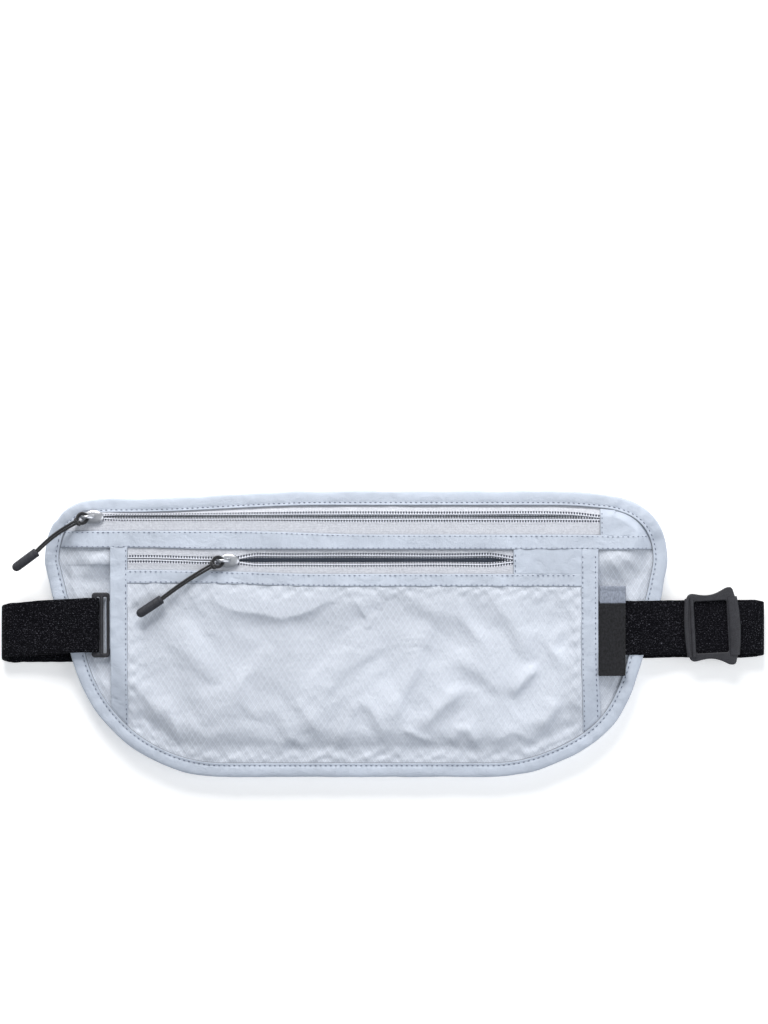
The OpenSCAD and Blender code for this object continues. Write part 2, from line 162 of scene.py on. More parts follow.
class Look:
    """A material under construction, with short ways to add the nodes used here. Its x and y are in mm."""

    def __init__(self, name, colour, roughness, specular=0.5, sheen=0.0, sheen_rough=0.5, metallic=0.0):
        self.material = bpy.data.materials.new(name)
        self.material.use_nodes = True
        self.tree = self.material.node_tree
        self.shader = self.tree.nodes["Principled BSDF"].inputs
        for socket, value in (("Base Color", (*colour, 1)), ("Roughness", roughness),
                              ("Metallic", metallic), ("Specular IOR Level", specular),
                              ("Sheen Weight", sheen), ("Sheen Roughness", sheen_rough)):
            self.shader[socket].default_value = value
        place = self.add("ShaderNodeTexCoord").outputs["Object"]
        self.place = self.vector("MULTIPLY", place, (1 / MM, 1 / MM, 1 / MM))
        split = self.add("ShaderNodeSeparateXYZ")
        self.feed(split.inputs[0], self.place)
        self.x, self.y = split.outputs[:2]

    def add(self, kind, **values):
        node = self.tree.nodes.new(kind)
        for key, value in values.items():
            setattr(node, key, value)
        return node

    def feed(self, socket, value):
        """Links a node's output to a socket, or sets the socket to a value."""
        if isinstance(value, bpy.types.NodeSocket):
            self.tree.links.new(value, socket)
        else:
            socket.default_value = value

    def vector(self, operation, a, b):
        node = self.add("ShaderNodeVectorMath", operation=operation)
        self.feed(node.inputs[0], a)
        self.feed(node.inputs[1], b)
        return node.outputs[0]

    def math(self, operation, a, b=0.0, c=0.0, clamp=False):
        node = self.add("ShaderNodeMath", operation=operation, use_clamp=clamp)
        for socket, value in zip(node.inputs, (a, b, c)):
            self.feed(socket, value)
        return node.outputs[0]

    def noise(self, scale, detail=2.0, roughness=0.5, stretch=(1, 1, 1), distortion=0.0):
        node = self.add("ShaderNodeTexNoise")
        for socket, value in (("Vector", self.vector("MULTIPLY", self.place, stretch)), ("Scale", scale),
                              ("Detail", detail), ("Roughness", roughness), ("Distortion", distortion)):
            self.feed(node.inputs[socket], value)
        return node.outputs["Fac"]

    def wave(self, value, pitch):
        return self.math("SINE", self.math("MULTIPLY", value, 2 * math.pi / pitch))

    def near(self, away, width):
        """1 where away is 0, fading to 0 within width."""
        return self.math("SUBTRACT", 1.0, self.math("DIVIDE", away, width), clamp=True)

    def line(self, value, width):
        """1 on thin lines one apart in value, fading to 0 within width."""
        off = self.math("ABSOLUTE", self.math("SUBTRACT", self.math("FRACT", value), 0.5))
        return self.near(off, width)

    def from_edge(self):
        """V of the UV: how many mm a point is from an edge."""
        split = self.add("ShaderNodeSeparateXYZ")
        self.feed(split.inputs[0], self.add("ShaderNodeTexCoord").outputs["UV"])
        return split.outputs[1]

    def ramp(self, value, stops):
        node = self.add("ShaderNodeValToRGB")
        self.feed(node.inputs[0], value)
        points = node.color_ramp.elements
        while len(points) < len(stops):
            points.new(0.5)
        for point, (at, colour) in zip(points, stops):
            point.position = at
            point.color = (*colour, 1)
        return node.outputs[0]

    def shades(self, field, colour, spread, low, high):
        """The colour, darker by the share spread where the field is low and lighter where it is high."""
        dark = tuple(c * (1 - spread) for c in colour)
        light = tuple(min(1, c * (1 + spread)) for c in colour)
        return self.ramp(field, [(low, dark), (high, light)])

    def mix(self, factor, a, b, blend="MIX"):
        node = self.add("ShaderNodeMix", data_type="RGBA", blend_type=blend)
        for socket, value in (("Factor", factor), ("A", a), ("B", b)):
            self.feed(node.inputs[socket], (*value, 1) if isinstance(value, tuple) else value)
        return node.outputs["Result"]

    def colour(self, socket):
        self.feed(self.shader["Base Color"], socket)

    def roughness(self, field, spread, least):
        self.feed(self.shader["Roughness"], self.math("MULTIPLY_ADD", field, spread, least))

    def bump(self, height, distance, strength=1.0):
        """Adds a bump, distance in mm, on top of the bumps made before."""
        node = self.add("ShaderNodeBump")
        last = self.shader["Normal"]
        for socket, value in (("Strength", strength), ("Distance", distance * MM), ("Height", height)):
            self.feed(node.inputs[socket], value)
        if last.is_linked:
            self.feed(node.inputs["Normal"], last.links[0].from_socket)
        self.feed(last, node.outputs[0])

    def weave(self, pitch, depth):
        """A plain weave: threads over and under each other, pitch in mm."""
        self.bump(self.math("MULTIPLY", self.wave(self.x, pitch), self.wave(self.y, pitch)), depth)


def ripstop(name, colour):
    """Thin coated cloth with a diamond grid of thicker threads, fine crinkles and a soft gloss."""
    m = Look(name, colour, 0.42, 0.45, sheen=0.25, sheen_rough=0.4)
    along, up = m.math("DIVIDE", m.x, 2.65), m.math("DIVIDE", m.y, 4.3)
    wander = m.math("MULTIPLY", m.noise(0.03, 1.0), 0.6)
    threads = [m.line(m.math("ADD", m.math(way, along, up), wander), 0.1) for way in ("ADD", "SUBTRACT")]
    grid = m.math("MAXIMUM", *threads)
    cloth = m.shades(m.noise(0.018, 3.0, 0.55), colour, 0.07, 0.3, 0.7)
    m.colour(m.mix(m.math("MULTIPLY", grid, 0.9), cloth, tuple(min(1, c * 1.32) for c in colour)))
    m.roughness(m.noise(0.12, 3.0), 0.16, 0.34)
    m.bump(m.noise(0.055, 4.0, 0.55, distortion=0.6), 1.6, 0.5)
    m.bump(m.noise(0.22, 4.0, 0.6, distortion=0.8), 0.5, 0.55)
    m.bump(grid, 0.11)
    m.weave(0.42, 0.03)
    return m.material


def plain_cloth(name, colour, crease_shade=None):
    """The same coated cloth without its grid, for the bands and the border. With a crease shade share, the
    cloth beside a folded edge keeps only that share of its colour: painted shade in the crease by the fold."""
    m = Look(name, colour, 0.45, 0.4, sheen=0.25, sheen_rough=0.4)
    cloth = m.shades(m.noise(0.05, 4.0, 0.6), colour, 0.08, 0.3, 0.7)
    if crease_shade:
        # Painted shade: the colour darkens within about half a mm of a folded edge, where the crease lies in
        # shade.
        away = m.math("MULTIPLY_ADD", m.noise(0.7, 2.0), -0.2, m.math("MULTIPLY", m.from_edge(), 2.0))
        away = m.math("MULTIPLY", away, 1.0, clamp=True)
        cloth = m.mix(away, tuple(c * crease_shade for c in colour), cloth)
    m.colour(cloth)
    m.roughness(m.noise(0.2, 2.0), 0.15, 0.37)
    m.bump(m.noise(0.16, 4.0, 0.55, distortion=0.7), 0.9, 0.6)
    m.bump(m.noise(1.3, 3.0, 0.6), 0.12)
    m.weave(0.4, 0.035)
    return m.material


def elastic(name, colour):
    """Dull black knitted elastic: fine ribs along the strap, crossing yarns, and pale speckles painted in as
    the knit's small glints.
    """
    m = Look(name, colour, 0.85, 0.07)
    slant = m.math("MULTIPLY_ADD", m.x, 0.9, m.math("MULTIPLY", m.y, 1.3))
    # Pale speckles painted into the colour as the knit's small glints; they also roughen the bump.
    glint_speckle = m.noise(1.7, 2.5, 0.6)
    m.colour(m.ramp(glint_speckle, [(0.0, colour), (0.52, colour), (0.63, (0.028, 0.028, 0.034)),
                           (0.74, (0.12, 0.12, 0.14))]))
    m.bump(m.wave(m.y, 0.95), 0.06)
    m.bump(m.wave(slant, 1.05), 0.08)
    m.bump(glint_speckle, 0.35)
    return m.material


def moulded(name, colour, roughness, grain):
    """Moulded plastic or rubber with a fine grain and worn, slightly shinier patches."""
    m = Look(name, colour, roughness, 0.3)
    worn = m.shades(m.noise(0.25, 4.0, 0.6), colour, 0.18, 0.3, 0.75)
    speckle = m.ramp(m.noise(1.9, 3.0, 0.65), [(0.35, (0.6, 0.6, 0.6)), (0.7, (1.9, 1.9, 1.9))])
    m.colour(m.mix(0.6, worn, speckle, "MULTIPLY"))
    m.roughness(m.noise(0.5, 3.0), 0.22, roughness - 0.11)
    m.bump(m.noise(3.5, 3.0, 0.6), grain)
    return m.material


def metal(name, colour):
    """Plated metal, rubbed in fine lines along X."""
    m = Look(name, colour, 0.3, metallic=1.0)
    m.colour(m.shades(m.noise(0.6, 3.0), colour, 0.1, 0.3, 0.7))
    m.roughness(m.noise(0.9, 4.0, stretch=(0.2, 3, 1)), 0.25, 0.2)
    m.bump(m.noise(1.2, 2.0, stretch=(0.15, 4, 1)), 0.03)
    return m.material


def zip_cloth(name, colour, thread):
    """Zip tape: ribbed weave, with the coil's sewing as a dotted row beside the tape's edge, a paler rolled
    edge, and painted shade as a thin dark line at the very edge, in the crevice where the tapes meet.
    """
    m = Look(name, colour, 0.6, 0.3, sheen=0.2)
    off_edge = m.from_edge()
    off = m.math("ABSOLUTE", off_edge)
    row = m.near(m.math("ABSOLUTE", m.math("SUBTRACT", off, 1.22)), 0.62)
    beat = m.math("MULTIPLY_ADD", m.wave(m.x, 1.25), 0.5, 0.5)
    dots = m.math("MULTIPLY", m.math("MULTIPLY", row, m.math("POWER", beat, 1.6)), 2.6, clamp=True)
    bright = tuple(min(1, c * 1.25) for c in colour)
    # Across the tape: its own colour, paler over the rolled edge, and the thread colour within about 0.2 mm
    # of the edge as painted shade in the crevice where the two tapes meet.
    edge = m.ramp(m.near(off, 2.0), [(0.0, colour), (0.1, colour), (0.3, bright), (0.88, bright),
                                     (0.93, thread)])
    speckle = m.ramp(m.noise(1.15, 3.0, 0.7), [(0.3, (0.7, 0.7, 0.72)), (0.62, (1, 1, 1))])
    m.colour(m.mix(dots, m.mix(0.75, edge, speckle, "MULTIPLY"), thread))
    m.bump(m.wave(m.math("ADD", m.x, m.math("MULTIPLY", off_edge, 0.6)), 0.62), 0.07)
    m.bump(m.wave(off_edge, 0.8), 0.015)
    m.bump(m.noise(1.6, 3.0, 0.7), 0.2)
    m.bump(dots, -0.3)
    return m.material


def satin_label(name, colour, spread):
    """Woven satin: long floats across the label, in uneven shades."""
    m = Look(name, colour, 0.55, 0.3, sheen=0.2, sheen_rough=0.3)
    m.colour(m.shades(m.noise(1.3, 3.0, 0.7, stretch=(1, 0.6, 1)), colour, spread, 0.35, 0.65))
    m.bump(m.noise(1.5, 2.0, 0.6), 0.25)
    m.bump(m.wave(m.x, 0.3), 0.03)
    m.bump(m.wave(m.y, 0.5), 0.02)
    return m.material


def braid(name, colour):
    """Braided cord: crossing plaits, painted darker between them as shade, and a dull fuzz."""
    m = Look(name, colour, 0.75, 0.3, sheen=0.3)
    plait = m.math("MULTIPLY", *[m.wave(m.math(way, m.x, m.y), 0.7) for way in ("ADD", "SUBTRACT")])
    # Painted shade: the colour is darker where the plaits sink between each other.
    m.colour(m.shades(m.math("MULTIPLY_ADD", plait, 0.5, 0.5), colour, 0.35, 0.2, 0.9))
    m.bump(plait, 0.12)
    m.bump(m.noise(3.0, 3.0), 0.1)
    return m.material


CLOTH, TRIM = (0.62, 0.66, 0.735), (0.555, 0.61, 0.705)
# Each look has the part's material slot that it belongs to, and its material.
LOOKS = {
    "cloth": ("pouch_cloth", ripstop("ripstop_cloth", CLOTH)),
    "trim": ("trim_cloth", plain_cloth("trim_cloth", TRIM)),
    # Painted shade: these two darken the cloth beside folded edges, strongly by the border's lip and lightly
    # by the bands' edges.
    "edge_shaded": ("trim_cloth", plain_cloth("trim_cloth_edge_shaded", TRIM, 0.28)),
    "hemmed": ("trim_cloth", plain_cloth("trim_cloth_hem_shaded", TRIM, 0.6)),
    # Painted shade: the partition is the pouch's own cloth, coloured dark for the shade inside the pockets.
    "lining": ("pouch_cloth", plain_cloth("inside_shade_cloth", (0.16, 0.19, 0.25))),
    "tape": ("zip_tape", zip_cloth("zip_tape_weave", (0.72, 0.74, 0.80), (0.03, 0.035, 0.07))),
    "coil": ("zip_coil", moulded("coil_nylon", (0.75, 0.77, 0.84), 0.35, 0.01)),
    "thread": ("trim_cloth", braid("sewing_thread", (0.13, 0.16, 0.25))),
    "pale_thread": ("trim_cloth", braid("sewing_thread_pale", (0.24, 0.28, 0.39))),
    "elastic": ("elastic", elastic("strap_elastic", (0.0025, 0.0025, 0.004))),
    "plastic": ("black_plastic", moulded("black_acetal", (0.029, 0.029, 0.034), 0.5, 0.06)),
    "metal": ("slider_metal", metal("slider_plating", (0.55, 0.56, 0.59))),
    "cord": ("pull_cord", braid("pull_braid", (0.014, 0.014, 0.017))),
    "rubber": ("pull_rubber", moulded("pull_rubber_matt", (0.032, 0.033, 0.040), 0.6, 0.03)),
    "label": ("label_black", satin_label("label_satin_black", (0.011, 0.011, 0.0135), 0.7)),
    "label_grey": ("label_grey", satin_label("label_satin_grey", (0.285, 0.315, 0.385), 0.25)),
}
DRAPED = {"cloth", "trim", "edge_shaded", "hemmed", "lining", "tape", "coil", "thread", "pale_thread"}

# ---- mesh tools ----

# Where the outline strays from the drawn one: the axis it moves along, how far, the middle of the stretch
# and its reach, all in mm.
STRAYS = [(0, -1.8, -140, 24, 17), (0, 1.4, 141, 13, 15), (0, 1.6, 116, -42, 20), (1, -1.5, 114, -44, 20),
          (1, -1.8, 120, 64, 15)]


def drape(points):
    """Where the pouch's cloth really lies: its outline and its zips stray a few mm from the drawn ones."""
    x, y = points[:, 0], points[:, 1]
    moved = points.copy()
    for axis, far, at_x, at_y, reach in STRAYS:
        moved[:, axis] += far * np.exp(-((x - at_x) ** 2 + (y - at_y) ** 2) / reach ** 2)
    moved[:, 1] -= 3.4 * smooth((-15 - x) / 90) * smooth((x + 139) / 24) * smooth((y - 53.5) / 6.5)
    moved[:, 1] += 1.7 * smooth((10 - x) / 70) * smooth((y - 39) / 5) * smooth((52.8 - y) / 4.5)
    moved[:, 1] += 1.5 * smooth((-15 - x) / 60) * smooth((y - 17) / 5) * smooth((31.5 - y) / 3.5)
    moved[:, 1] += 0.8 * smooth((-64 - x) / 35) * smooth((y - 24) / 6) * smooth((44 - y) / 6)
    return moved


def link(name, data, look, body):
    """Puts mesh or curve data in the scene, with its look's material. It rides on body, unless body is None.
    """
    slot, material = LOOKS[look]
    data.materials.append(material)
    o = bpy.data.objects.new(name, data)
    bpy.context.scene.collection.objects.link(o)
    if body:
        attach(o, body)
    return o


def piece(name, points, faces, look, body="root", v=None):
    """A smooth mesh from points in mm, with flat ends. v is what each point's UV says: its distance in mm
    from a zip tape's or a band's edge."""
    points = np.asarray(points, float)
    placed = drape(points) if look in DRAPED else points
    mesh = bpy.data.meshes.new(name)
    mesh.from_pydata((placed * MM).tolist(), [], [list(f) for f in faces])
    mesh.validate()
    shape = bmesh.new()
    shape.from_mesh(mesh)
    if v is not None:
        layer = shape.loops.layers.uv.new("UVMap")
        for face in shape.faces:
            for corner in face.loops:
                at = corner.vert.index
                corner[layer].uv = (points[at, 0], v[at])
    bmesh.ops.remove_doubles(shape, verts=shape.verts, dist=1e-7)
    bmesh.ops.recalc_face_normals(shape, faces=shape.faces)
    for face in shape.faces:
        face.smooth = len(face.verts) <= 4
        if not face.smooth:
            for edge in face.edges:
                edge.smooth = False
    shape.to_mesh(mesh)
    shape.free()
    return link(name, mesh, look, body)


def grid_faces(rows, cols, start=0, flip=False, wrap=False):
    """Quads of a rows by cols grid of points."""
    i, j = np.meshgrid(np.arange(rows - 1), np.arange(cols if wrap else cols - 1), indexing="ij")
    k = (j + 1) % cols
    quads = np.stack([i * cols + j, (i + 1) * cols + j, (i + 1) * cols + k, i * cols + k], -1)
    quads = quads.reshape(-1, 4) + start
    return (quads[:, ::-1] if flip else quads).tolist()


def bar_faces(rings, sides, start=0):
    """Faces of a closed bar made of rings of points."""
    last = start + (rings - 1) * sides
    caps = [[start + k for k in range(sides)], [last + k for k in range(sides)]]
    return grid_faces(rings, sides, start, wrap=True) + caps


def sweep(name, stations, look, body="root", v=None):
    """A closed bar through stations, an array [station, corner, xyz]. v is each corner's V in the UV."""
    faces = bar_faces(*stations.shape[:2])
    return piece(name, stations.reshape(-1, 3), faces, look, body, None if v is None else np.ravel(v))


def run_along(line):
    """How far each point of a line is along it."""
    return np.concatenate([[0], np.cumsum(np.linalg.norm(np.diff(line, axis=0), axis=1))])


def headings(line):
    """The direction of a line at each of its points."""
    along = np.gradient(line, axis=0)
    return along / np.linalg.norm(along, axis=1, keepdims=True)


def normals_of(grid):
    """The upward directions across a grid of points."""
    du = np.gradient(grid, axis=0)
    dv = np.gradient(grid, axis=1)
    n = np.cross(du, dv)
    n /= np.maximum(np.linalg.norm(n, axis=2, keepdims=True), 1e-9)
    return n * np.sign(n[..., 2:].sum() or 1)


def thick(grid, t):
    """Points and faces of a closed sheet of thickness t, hanging below the grid of its upper face."""
    rows, cols = grid.shape[:2]
    under = grid - normals_of(grid) * t
    points = np.concatenate([grid.reshape(-1, 3), under.reshape(-1, 3)])
    flip = np.cross(grid[1, 0] - grid[0, 0], grid[0, 1] - grid[0, 0])[2] < 0
    n = rows * cols
    faces = grid_faces(rows, cols, 0, flip) + grid_faces(rows, cols, n, not flip)
    rim = [i * cols for i in range(rows)] + [(rows - 1) * cols + j for j in range(1, cols)]
    rim += [i * cols + cols - 1 for i in range(rows - 2, -1, -1)] + [j for j in range(cols - 2, 0, -1)]
    for a, b in zip(rim, rim[1:] + rim[:1]):
        faces.append([a, a + n, b + n, b] if flip else [b, b + n, a + n, a])
    return points, faces


WAVE_COUNT = 18


def waves(x, y, seed, size, amount, ridged=False):
    """A smooth repeatable field made of plane waves about size mm long."""
    dice = np.random.default_rng(seed)
    out = np.zeros(np.broadcast(x, y).shape)
    for _ in range(WAVE_COUNT):
        a = dice.uniform(0, math.pi)
        length = size * dice.uniform(0.6, 1.7)
        phase = dice.uniform(0, 2 * math.pi)
        wave = np.sin((x * math.cos(a) + y * math.sin(a)) * 2 * math.pi / length + phase)
        out += (1 - 2 * np.abs(wave)) if ridged else wave
    return out * amount / math.sqrt(WAVE_COUNT)


def spline(points, step=1.2):
    """A smooth line through points in any number of dimensions, about step mm apart."""
    p = np.asarray(points, float)
    length = np.maximum(np.linalg.norm(np.diff(p[:, :3], axis=0), axis=1), 1e-6)[:, None]
    slope = np.diff(p, axis=0) / length
    between = (slope[:-1] * length[1:] + slope[1:] * length[:-1]) / (length[:-1] + length[1:])
    tangent = np.concatenate([slope[:1], between, slope[-1:]])
    out = []
    for i, reach in enumerate(length[:, 0]):
        t = np.linspace(0, 1, max(2, int(reach / step)), endpoint=False)[:, None]
        here = (1 + 2 * t) * (1 - t) ** 2 * p[i] + t * (1 - t) ** 2 * reach * tangent[i]
        there = t ** 2 * (3 - 2 * t) * p[i + 1] + t ** 2 * (t - 1) * reach * tangent[i + 1]
        out.append(here + there)
    out.append(p[-1:])
    return np.concatenate(out)


# ---- the pouch's surface ----


def arc(centre, r, a0, a1, step):
    """Points about step mm apart along an arc, angles in degrees, without its last one."""
    count = max(2, int(abs(math.radians(a1 - a0)) * r / step))
    a = np.radians(np.linspace(a0, a1, count, endpoint=False))
    return np.stack([centre[0] + r * np.cos(a), centre[1] + r * np.sin(a)], 1)


def straight(a, b, step):
    """Points about step mm apart from a to b, without b."""
    count = max(2, int(np.linalg.norm(np.subtract(b, a)) / step))
    return np.linspace(a, b, count, endpoint=False)


def outline(inset, step):
    """The pouch's outline, moved inwards: points step mm apart, anticlockwise from the lower right."""
    lean = math.degrees(SIDE_LEAN)
    mirror = np.array([-1, 1])
    rb, rt = BOTTOM_R - inset, TOP_R - inset
    side = [BOTTOM_C + LEAN_N * rb, TOP_C + LEAN_N * rt]
    top = [TOP_C + [0, rt], TOP_C * mirror + [0, rt]]
    low = [BOTTOM_C * mirror - [0, rb], BOTTOM_C - [0, rb]]
    return np.concatenate([
        arc(BOTTOM_C, rb, -90, -lean, step), straight(*side, step),
        arc(TOP_C, rt, -lean, 90, step), straight(*top, step),
        arc(TOP_C * mirror, rt, 90, 180 + lean, step), straight(side[1] * mirror, side[0] * mirror, step),
        arc(BOTTOM_C * mirror, rb, 180 + lean, 270, step), straight(*low, step),
    ])


def inside(x, y):
    """How far a point is inside the pouch's outline, in mm."""
    p = np.stack(np.broadcast_arrays(np.abs(x), y), -1).astype(float)
    side = SIDE_REACH - p @ LEAN_N
    d = np.minimum(np.minimum(TOP_Y - p[..., 1], p[..., 1] + BOTTOM_Y), side)
    lean = np.array([LEAN_N[1], -LEAN_N[0]])
    for centre, r, up in ((TOP_C, TOP_R, 1), (BOTTOM_C, BOTTOM_R, -1)):
        q = p - centre
        corner = (q[..., 0] > 0) & ((q @ lean) * -up > 0)
        corner &= q[..., 1] * up > (-abs(math.tan(SIDE_LEAN)) * q[..., 0] if up > 0 else 0)
        corner &= (q @ LEAN_N > 0)
        d = np.where(corner, r - np.linalg.norm(q, axis=-1), d)
    return d


def border_z(x, y):
    """The border's upper face. It stands higher along the top, beside the upper zip."""
    return BORDER_Z + (TOP_BORDER_Z - BORDER_Z) * smooth((y - 36) / 20)


def front_z(x, y):
    """The front of the stuffed pouch: flat in the middle, sloping to its border."""
    x, y = np.broadcast_arrays(np.asarray(x, float), np.asarray(y, float))
    low = border_z(x, y) - GROOVE
    reach = 17 - 12.5 * smooth((y - 26) / 24)
    return low + (PLANE_Z - low) * smooth((inside(x, y) - BORDER_W - 0.3) / reach) ** 0.8


def side_z(x, y):
    """The front beside the patch pocket, where the strap's ends press it down."""
    z = front_z(x, y) - 0.45
    pressed = 1 - smooth((np.abs(y - 3.0) - 18) / 13)
    return z + (np.minimum(z, SHELF_Z) - z) * pressed


def edge_y(x, inset, top):
    """Where the column at x crosses the outline moved inwards, at its top or its bottom."""
    ring = outline(inset, 0.25)
    half = ring[(ring[:, 1] > TOP_C[1]) if top else (ring[:, 1] < TOP_C[1])]
    half = half[np.argsort(half[:, 0])]
    return np.interp(x, half[:, 0], half[:, 1])


def edge_x(y, inset):
    """The half width of the outline, moved inwards, at height y."""
    ring = outline(inset, 0.25)
    right = ring[ring[:, 0] > 0]
    right = right[np.argsort(right[:, 1])]
    return np.interp(y, right[:, 1], right[:, 0])


def sewn_low(x):
    """The lower end of cloth that is sewn under the border."""
    return edge_y(x, SEWN_INSET, False)


def sewn_high(x):
    """The upper end of cloth that is sewn under the border."""
    return edge_y(x, SEWN_INSET, True)


def columns(x0, x1, y0, y1, step=1.0, rows=None):
    """A grid over columns of x, each from y0 to y1, which are numbers or functions of x."""
    xs = np.linspace(x0, x1, max(2, int((x1 - x0) / step) + 1))
    low = y0(xs) if callable(y0) else np.full_like(xs, y0)
    high = y1(xs) if callable(y1) else np.full_like(xs, y1)
    rows = rows or max(2, int((high - low).max() / step) + 1)
    t = np.linspace(0, 1, rows)
    return np.broadcast_to(xs[:, None], (len(xs), rows)), low[:, None] + (high - low)[:, None] * t[None]


def pucker(x, y, distance, seed, amount=0.22, reach=5.0):
    """Small gathers that a row of stitches makes, strongest at the row."""
    return waves(x, y, seed, 6.5, amount) * np.exp(-((distance / reach) ** 2))


# ---- cloth simulation ----


SIM_FRAMES = 26


def simulate(grid, pinned, grow, seed):
    """Lets a flat grid of cloth that is grow too large for its pinned edges find its folds.
    Returns how far each point moved, in mm. Blender's cloth likes metres, so 100 mm are 1 unit here."""
    rows, cols = grid.shape[:2]
    scale = 100.0
    start = grid.copy()
    start[..., 2] = waves(grid[..., 0], grid[..., 1], seed, 26, 0.25)
    mesh = bpy.data.meshes.new("cloth_run")
    mesh.from_pydata((start.reshape(-1, 3) / scale).tolist(), [], grid_faces(rows, cols))
    o = bpy.data.objects.new("cloth_run", mesh)
    scene = bpy.context.scene
    scene.collection.objects.link(o)
    group = o.vertex_groups.new(name="pin")
    group.add(np.flatnonzero(pinned.ravel()).tolist(), 1.0, "REPLACE")
    cloth = o.modifiers.new("cloth", "CLOTH")
    s = cloth.settings
    s.vertex_group_mass = "pin"
    s.quality = 6
    s.mass = 0.1
    s.tension_stiffness = s.compression_stiffness = 25
    s.shear_stiffness = 8
    s.bending_stiffness = 0.12
    s.air_damping = 2.0
    s.shrink_min = -grow
    s.effector_weights.gravity = 0.0
    cloth.collision_settings.use_collision = cloth.collision_settings.use_self_collision = False
    for span in (cloth.point_cache, scene):
        span.frame_start, span.frame_end = 1, SIM_FRAMES
    for f in range(1, SIM_FRAMES + 1):
        scene.frame_set(f)
    evaluated = o.evaluated_get(bpy.context.evaluated_depsgraph_get())
    done = evaluated.to_mesh()
    out = np.empty(len(done.vertices) * 3)
    done.vertices.foreach_get("co", out)
    evaluated.to_mesh_clear()
    bpy.data.objects.remove(o)
    bpy.data.meshes.remove(mesh)
    scene.frame_set(1)
    return out.reshape(rows, cols, 3) * scale - grid


# ---- cloth of the pouch ----

CLOTH_T, BAND_T = 0.4, 0.3
# Farther from any edge than the painted crease shade reaches.
FAR = 9.0
# How much too large the front's cloth is, and how strong its folds, crumpling and sag at the seams are.
GROW, FOLD_RISE, CRUMPLE_RISE, SEAM_SAG = 0.012, 1.4, 0.5, 2.0
# Folds: points along each ridge, its height, and how far its near side and its steep side reach. The steep
# side is on the right of the ridge, seen along its points.
FOLDS = [
    ([(-70, 19), (-60, 15), (-50, 11.5), (-37, 9), (-24, 11), (-15, 16), (-9, 22)], 1.7, 9, 5.0),
    ([(-18, -36), (-11, -23), (1, -13), (13, -6)], 1.1, 9, 4.5),
    ([(11, -47), (19, -32), (27, -15), (28, 0)], 1.5, 8, 5.5),
    ([(29, -46), (38, -35), (50, -25)], 1.5, 6, 4.0),
    ([(44, -12), (57, -19), (70, -30)], 1.3, 10, 4.5),
    ([(70, -30), (77, -22), (84, -15)], 1.5, 7, 2.6),
    ([(80, -14), (73, 3), (66, 19)], 1.0, 8, 7.0),
    ([(30, -9), (34, 2), (38, 15)], 0.7, 8, 5.0),
    ([(-73, -25), (-77, -6), (-85, 12)], 0.9, 9, 9.0),
    ([(-62, -49), (-57, -32), (-52, -12)], 0.8, 9, 6.0),
    ([(-8, -54), (-4, -40), (1, -29)], 1.0, 5, 4.0),
    ([(1, -29), (9, -40), (14, -51)], 0.8, 5, 4.0),
    ([(43, -52), (49, -42)], 0.8, 4, 3.0),
    ([(49, -42), (56, -52)], 0.8, 4, 3.0),
    ([(-29, -30), (-22, -40), (-15, -48)], 0.9, 7, 4.0),
    ([(-82, -53), (-85, -42), (-89, -29)], 0.8, 6, 4.0),
    ([(-103, -23), (-95, -33), (-89, -42)], 0.8, 7, 4.0),
    ([(84, -45), (89, -37), (91, -29)], 0.9, 5, 3.0),
    ([(20, -44), (28, -48), (36, -51)], 0.7, 3, 1.8),
    ([(-1, 16), (3, 9), (7, 5)], 0.45, 3, 1.4),
    ([(4, 1), (10, 10)], 0.45, 3, 1.4),
    ([(52, 18), (48, 10), (57, -3), (66, -10)], 0.6, 6, 4.0),
    ([(97, -18), (90, -6), (100, 6)], 0.7, 5, 4.0),
    ([(-36, -56), (-31, -49), (-22, -55)], 0.6, 4, 2.5),
    ([(62, -52), (72, -46), (83, -52)], 0.6, 4, 2.5),
]
SIDE_FOLDS = [
    ([(114, 37), (120, 30), (127, 20)], 1.1, 5, 3.0),
    ([(118, 38), (127, 32), (133, 26)], 0.9, 4, 3.0),
    ([(116, -22), (121, -28), (124, -34)], 0.9, 4, 2.5),
    ([(-116, 36), (-122, 30), (-126, 22)], 1.0, 5, 3.0),
    ([(-133, 36), (-131, 28), (-130, 21)], 0.9, 4, 3.0),
    ([(-117, -22), (-118, -30), (-117, -38)], 1.0, 4, 2.5),
]


def folds(x, y, ridges):
    """The height of a cloth's folds over its dips."""
    out = np.zeros(x.shape)
    p = np.stack([x, y], -1)
    for ridge, height, near, steep in ridges:
        line = spline([(*q, 0) for q in ridge], 1.0)[:, :2]
        run = run_along(line)
        ahead = np.gradient(line, axis=0)
        off = p[:, :, None, :] - line
        far = np.linalg.norm(off, axis=-1)
        k = far.argmin(-1)
        off = np.take_along_axis(off, k[..., None, None], 2)[:, :, 0]
        right = off[..., 0] * ahead[k][..., 1] - off[..., 1] * ahead[k][..., 0] > 0
        d = far.min(-1) / np.where(right, steep, near)
        taper = smooth(np.minimum(run[k], run[-1] - run[k]) / (0.35 * run[-1]) + 0.15)
        out += height * taper / (1 + d * d) ** 2
    return out


def finer(values):
    """The same values on a grid twice as fine."""
    for axis in (0, 1):
        values = np.moveaxis(values, axis, 0)
        out = np.repeat(values, 2, axis=0)[:-1]
        out[1:-1:2] = (values[1:] + values[:-1]) / 2
        values = np.moveaxis(out, 0, axis)
    return values


